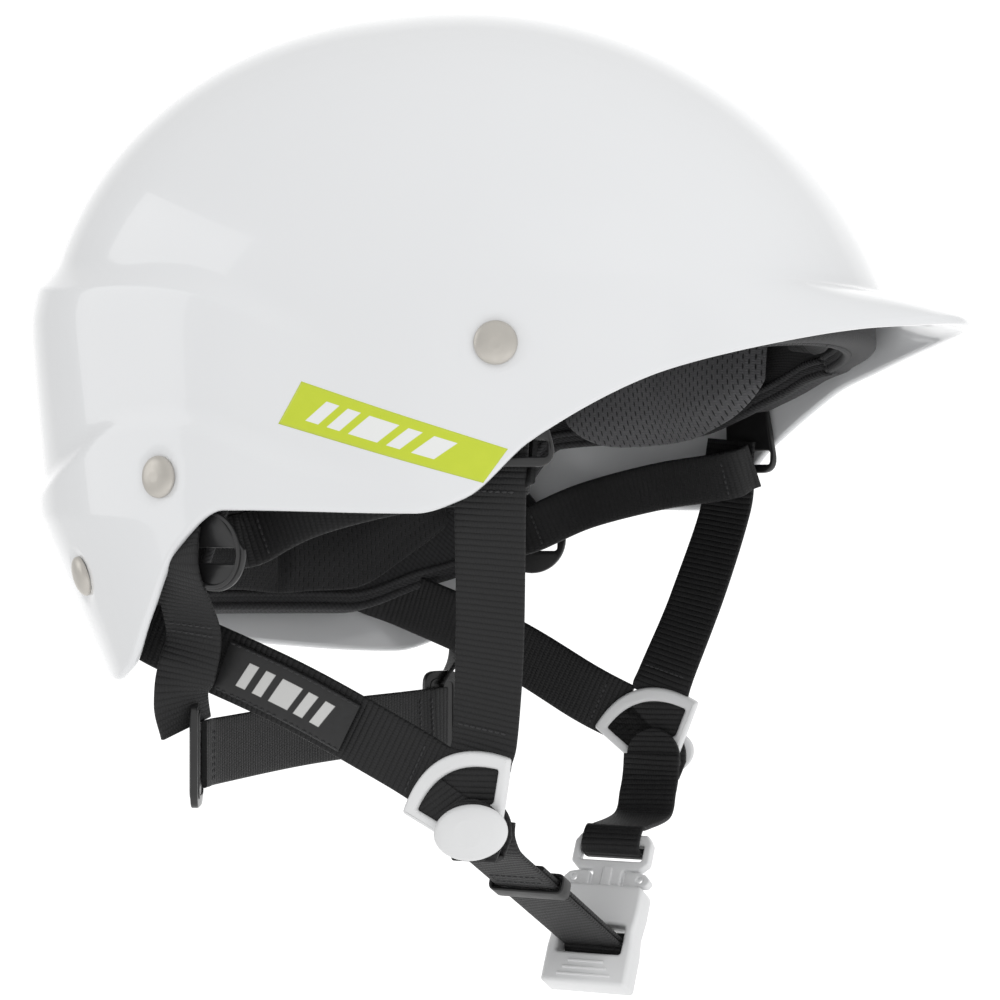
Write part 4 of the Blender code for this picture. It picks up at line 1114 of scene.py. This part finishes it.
# ---------------------------------------------------------------- buckle and chin straps
def box_cutter(low, high, place):
    """A plain box in a local frame, used to cut a slot and then removed."""
    corners = [(x, y, z) for z in (low[2], high[2]) for y in (low[1], high[1]) for x in (low[0], high[0])]
    verts = [place @ Vector(c) for c in corners]
    faces = [(0, 2, 3, 1), (4, 5, 7, 6), (0, 1, 5, 4), (2, 6, 7, 3), (0, 4, 6, 2), (1, 3, 7, 5)]
    return outward(mesh_piece("cutter", verts, faces))


def combined(obj, cutters, operation):
    for cutter in cutters:
        mod = obj.modifiers.new("cut", "BOOLEAN")
        mod.operation = operation
        mod.solver = "EXACT"
        mod.object = cutter
    bpy.context.view_layer.update()
    baked(obj)
    for cutter in cutters:
        bpy.data.objects.remove(cutter, do_unlink=True)
    return obj


def make_buckle():
    place = buckle_frame()
    m = SOCKET_LENGTH
    outline = softened([(-14.2, 3), (-14.2, 0), (14.2, 0), (14.2, 3), (14.2, 12), (13.6, 18), (14.2, 24),
                        (14.2, m), (-14.2, m), (-14.2, 24), (-13.6, 18), (-14.2, 12)], 2.6)
    window = oblong(10.8, 10.2, 19.8, 1.2)
    body = plate("socket_body", [outline, window], -4.6, 5.0, place, bevel=1.2, steps=4)
    body = combined(body, [box_cutter((-11.4, 20.4, -2.9), (11.4, m + 8, 3.1), place)], "DIFFERENCE")
    bar_place = placed(place @ Vector((0, BAR_T, BAR_H)), (0, 1, 0), (1, 0, 0))
    bar = turned("socket_bar", [(0, -11.6), (1.7, -11.6), (1.8, -8), (1.8, 8), (1.7, 11.6), (0, 11.6)],
                 bar_place, 28)
    ridge = [plate("ridge", [oblong(9 - k, y, y + 0.9, 0.4)], 4.7, 5.35, place, bevel=0.25, steps=2)
             for k, y in ((0, 2.4), (1.5, 4.6), (3.0, 6.8))]
    socket = joined("buckle_socket_skin", [body, bar] + ridge)
    socket.data.shade_smooth()
    socket.data.set_sharp_from_angle(angle=math.radians(35))
    finished(socket, ACETAL, "buckle_socket")

    half = [(4.0, m - 12), (5.0, m - 10.5), (5.0, m + 6), (10.5, m + 6), (13.2, m + 8.5),
            (13.2, m + 15.4), (11.4, m + 18.2)]
    outline = softened(half + [(-x, y) for x, y in reversed(half)], 1.6)
    slot = oblong(10.6, m + 9.2, m + 14.6, 1.0)
    plug = plate("plug_body", [outline, slot], -1.9, 1.9, place, bevel=0.8, steps=4)
    spine = plate("spine", [oblong(1.6, m - 9, m + 7, 1.0)], 1.4, 2.5, place, bevel=0.4)
    finished(joined("buckle_plug_skin", [plug, spine]), ACETAL, "buckle_plug")
    for sign, word in ((1, "front"), (-1, "rear")):
        arm = [(5.9, 5.5), (5.9, -3.0), (6.6, -10.6), (8.0, -11.6), (9.8, -10.8), (10.4, -8.6),
               (9.6, -3.0), (9.9, 0.7), (13.8, 1.0), (15.0, 2.8), (13.0, 4.9), (10.2, 5.5)]
        outline = softened([(sign * x, m + y) for x, y in arm], 1.4)
        slit_shade = circle(1.0, 20, (sign * 11.2, m + 3.0))
        prong = plate(f"buckle_prong_skin_{word}", [outline, slit_shade], -1.8, 1.8, place, bevel=0.55)
        finished(prong, ACETAL, f"buckle_prong_{word}")


def make_chin_straps():
    hinge, bar = STRAP_HINGE, BUCKLE_BAR
    arm = bar - hinge
    reach = arm.length
    along = arm.normalized()
    out = -Vector((1, 0, 0)).cross(Vector((0, along.y, along.z)).normalized())
    side = Vector((1, 0, 0))

    def at(s, h):
        return hinge + along * s + out * h

    layer = STRAP_LAYER
    stations = [(Vector((41.6, -69.3, -215.5)), side), (Vector((41.3, -69.0, -220.0)), side),
                (at(1.5, 0.3), side), (at(6, layer), side)]
    stations += [(at(s, layer), side) for s in np.linspace(12, reach - 8, 9)]
    turn = [math.radians(a) for a in np.linspace(166, -166, 13)]
    stations += [(at(reach + BAR_WRAP * math.cos(a), BAR_WRAP * math.sin(a)), side) for a in turn]
    stations += [(at(s, -layer), side) for s in np.linspace(reach - 8, 21, 9)]
    strap = tape("chin_strap_tape_right", stations, 20.0, 1.45, 0.9)
    finished(strap, TAPE)
    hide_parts("chin_strap_right")
    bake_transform(strap)
    runs = []
    for s in (23.5, 29.0):
        for h, up in ((layer + 0.76, out), (-layer - 0.76, -out)):
            runs.append((at(s, h) - side * 8.2, at(s, h) + side * 8.2, up))
    for x in (-7.8, 7.8):
        runs.append((at(23.5, layer + 0.76) + side * x, at(29.0, layer + 0.76) + side * x, out))
    finished(stitched("chin_strap_stitch_right", runs), THREAD,
             body="right_chin_strap")

    keeper = placed(at(KEEPER_AT, 0), side, along)
    outer = oblong(11.9, -3.2, 3.2, 2.4, count=8)
    inner = oblong(10.6, -2.2, 2.2, 1.0)
    band = plate("strap_keeper_band", [outer, inner], -3.2, 3.2, keeper, bevel=0.5)
    finished(band, RUBBER, "strap_keeper")

    place, m = buckle_frame(), SOCKET_LENGTH
    left = [(Vector((36.8, 70.4, -209.0)), side), (Vector((36.7, 69.6, -215.5)), side),
            (Vector((36.9, 66.6, -221.0)), side), (Vector((37.2, 61.0, -228)), side)]
    for t, h in ((21.5, -0.5), (19.5, 3.2), (13.5, 4.0), (11.7, 0.2), (13.0, -3.6), (17.2, -5.0)):
        left.append((place @ Vector((0, m + t, h)), side))
    finished(tape("chin_strap_tape_left", left, 20.0, 1.45, 0.9), TAPE, "chin_strap_left")


# ---------------------------------------------------------------- light and camera
def make_light_and_camera():
    """A white backdrop behind the object and soft light all round it; there is no floor."""
    world = bpy.data.worlds.new("studio")
    bpy.context.scene.world = world
    world.use_nodes = True
    tree = world.node_tree
    split = tree.nodes.new("ShaderNodeSeparateXYZ")
    tree.links.new(tree.nodes.new("ShaderNodeTexCoord").outputs["Generated"], split.inputs[0])
    x, y, z = (Field(tree, out) for out in split.outputs)
    backdrop = ((x * -0.4226 + y * 0.9063 - 0.72) / 0.2).clamped()
    below = (z * -1.6).clamped()
    bright = (x * 0.10 + z * 0.12 + 0.69) + backdrop * 0.55 + below * 0.40
    tree.links.new(bright.socket, tree.nodes["Background"].inputs["Strength"])
    tree.nodes["Background"].inputs["Color"].default_value = (1, 1, 1, 1)
    lights = (("key", (0.9, -0.9, 0.8), 1.0, 4.0, False), ("left", (-1.5, -0.7, 0.35), 1.3, 3.0, True))
    for name, spot, size, power, mirrored_in_gloss in lights:
        data = bpy.data.lights.new(name, "AREA")
        data.energy, data.size = power, size
        lamp = linked(name, data)
        lamp.location = spot
        lamp.visible_glossy = mirrored_in_gloss
        aim = Vector((0, 0, -0.08)) - Vector(spot)
        lamp.rotation_euler = aim.to_track_quat("-Z", "Y").to_euler()
    camera = bpy.data.cameras.new("camera")
    camera.sensor_width, camera.lens = 36.0, 100.2
    view = linked("camera", camera)
    view.location = CAMERA_AT
    view.rotation_euler = (math.radians(90), 0, math.radians(CAMERA_TURN))
    bpy.context.scene.camera = view
    bpy.context.scene.view_settings.view_transform = "Standard"


make_shell()
make_decals()
make_liner()
make_pad("brow_cushion", 0, 42.5, -38.5, BLACK_MESH, "brow_pad")
for sign, word in SIDES:
    make_pad(f"temple_cushion_{word}", 71 * sign, 23.5, -50.5, GREY_MESH, f"temple_pad_{word}",
             lift=-3.0)
make_pad("rear_cushion", 180, 61.5, -66.5, BLACK_MESH, "rear_pad",
         pinch=((-0.4, 2.2), (0.4, 2.2)))
make_crown_pad()
make_rivets()
make_hangers()
make_upper_webbing()
make_label()
make_rings_and_tabs()
make_buckle()
make_chin_straps()
make_light_and_camera()
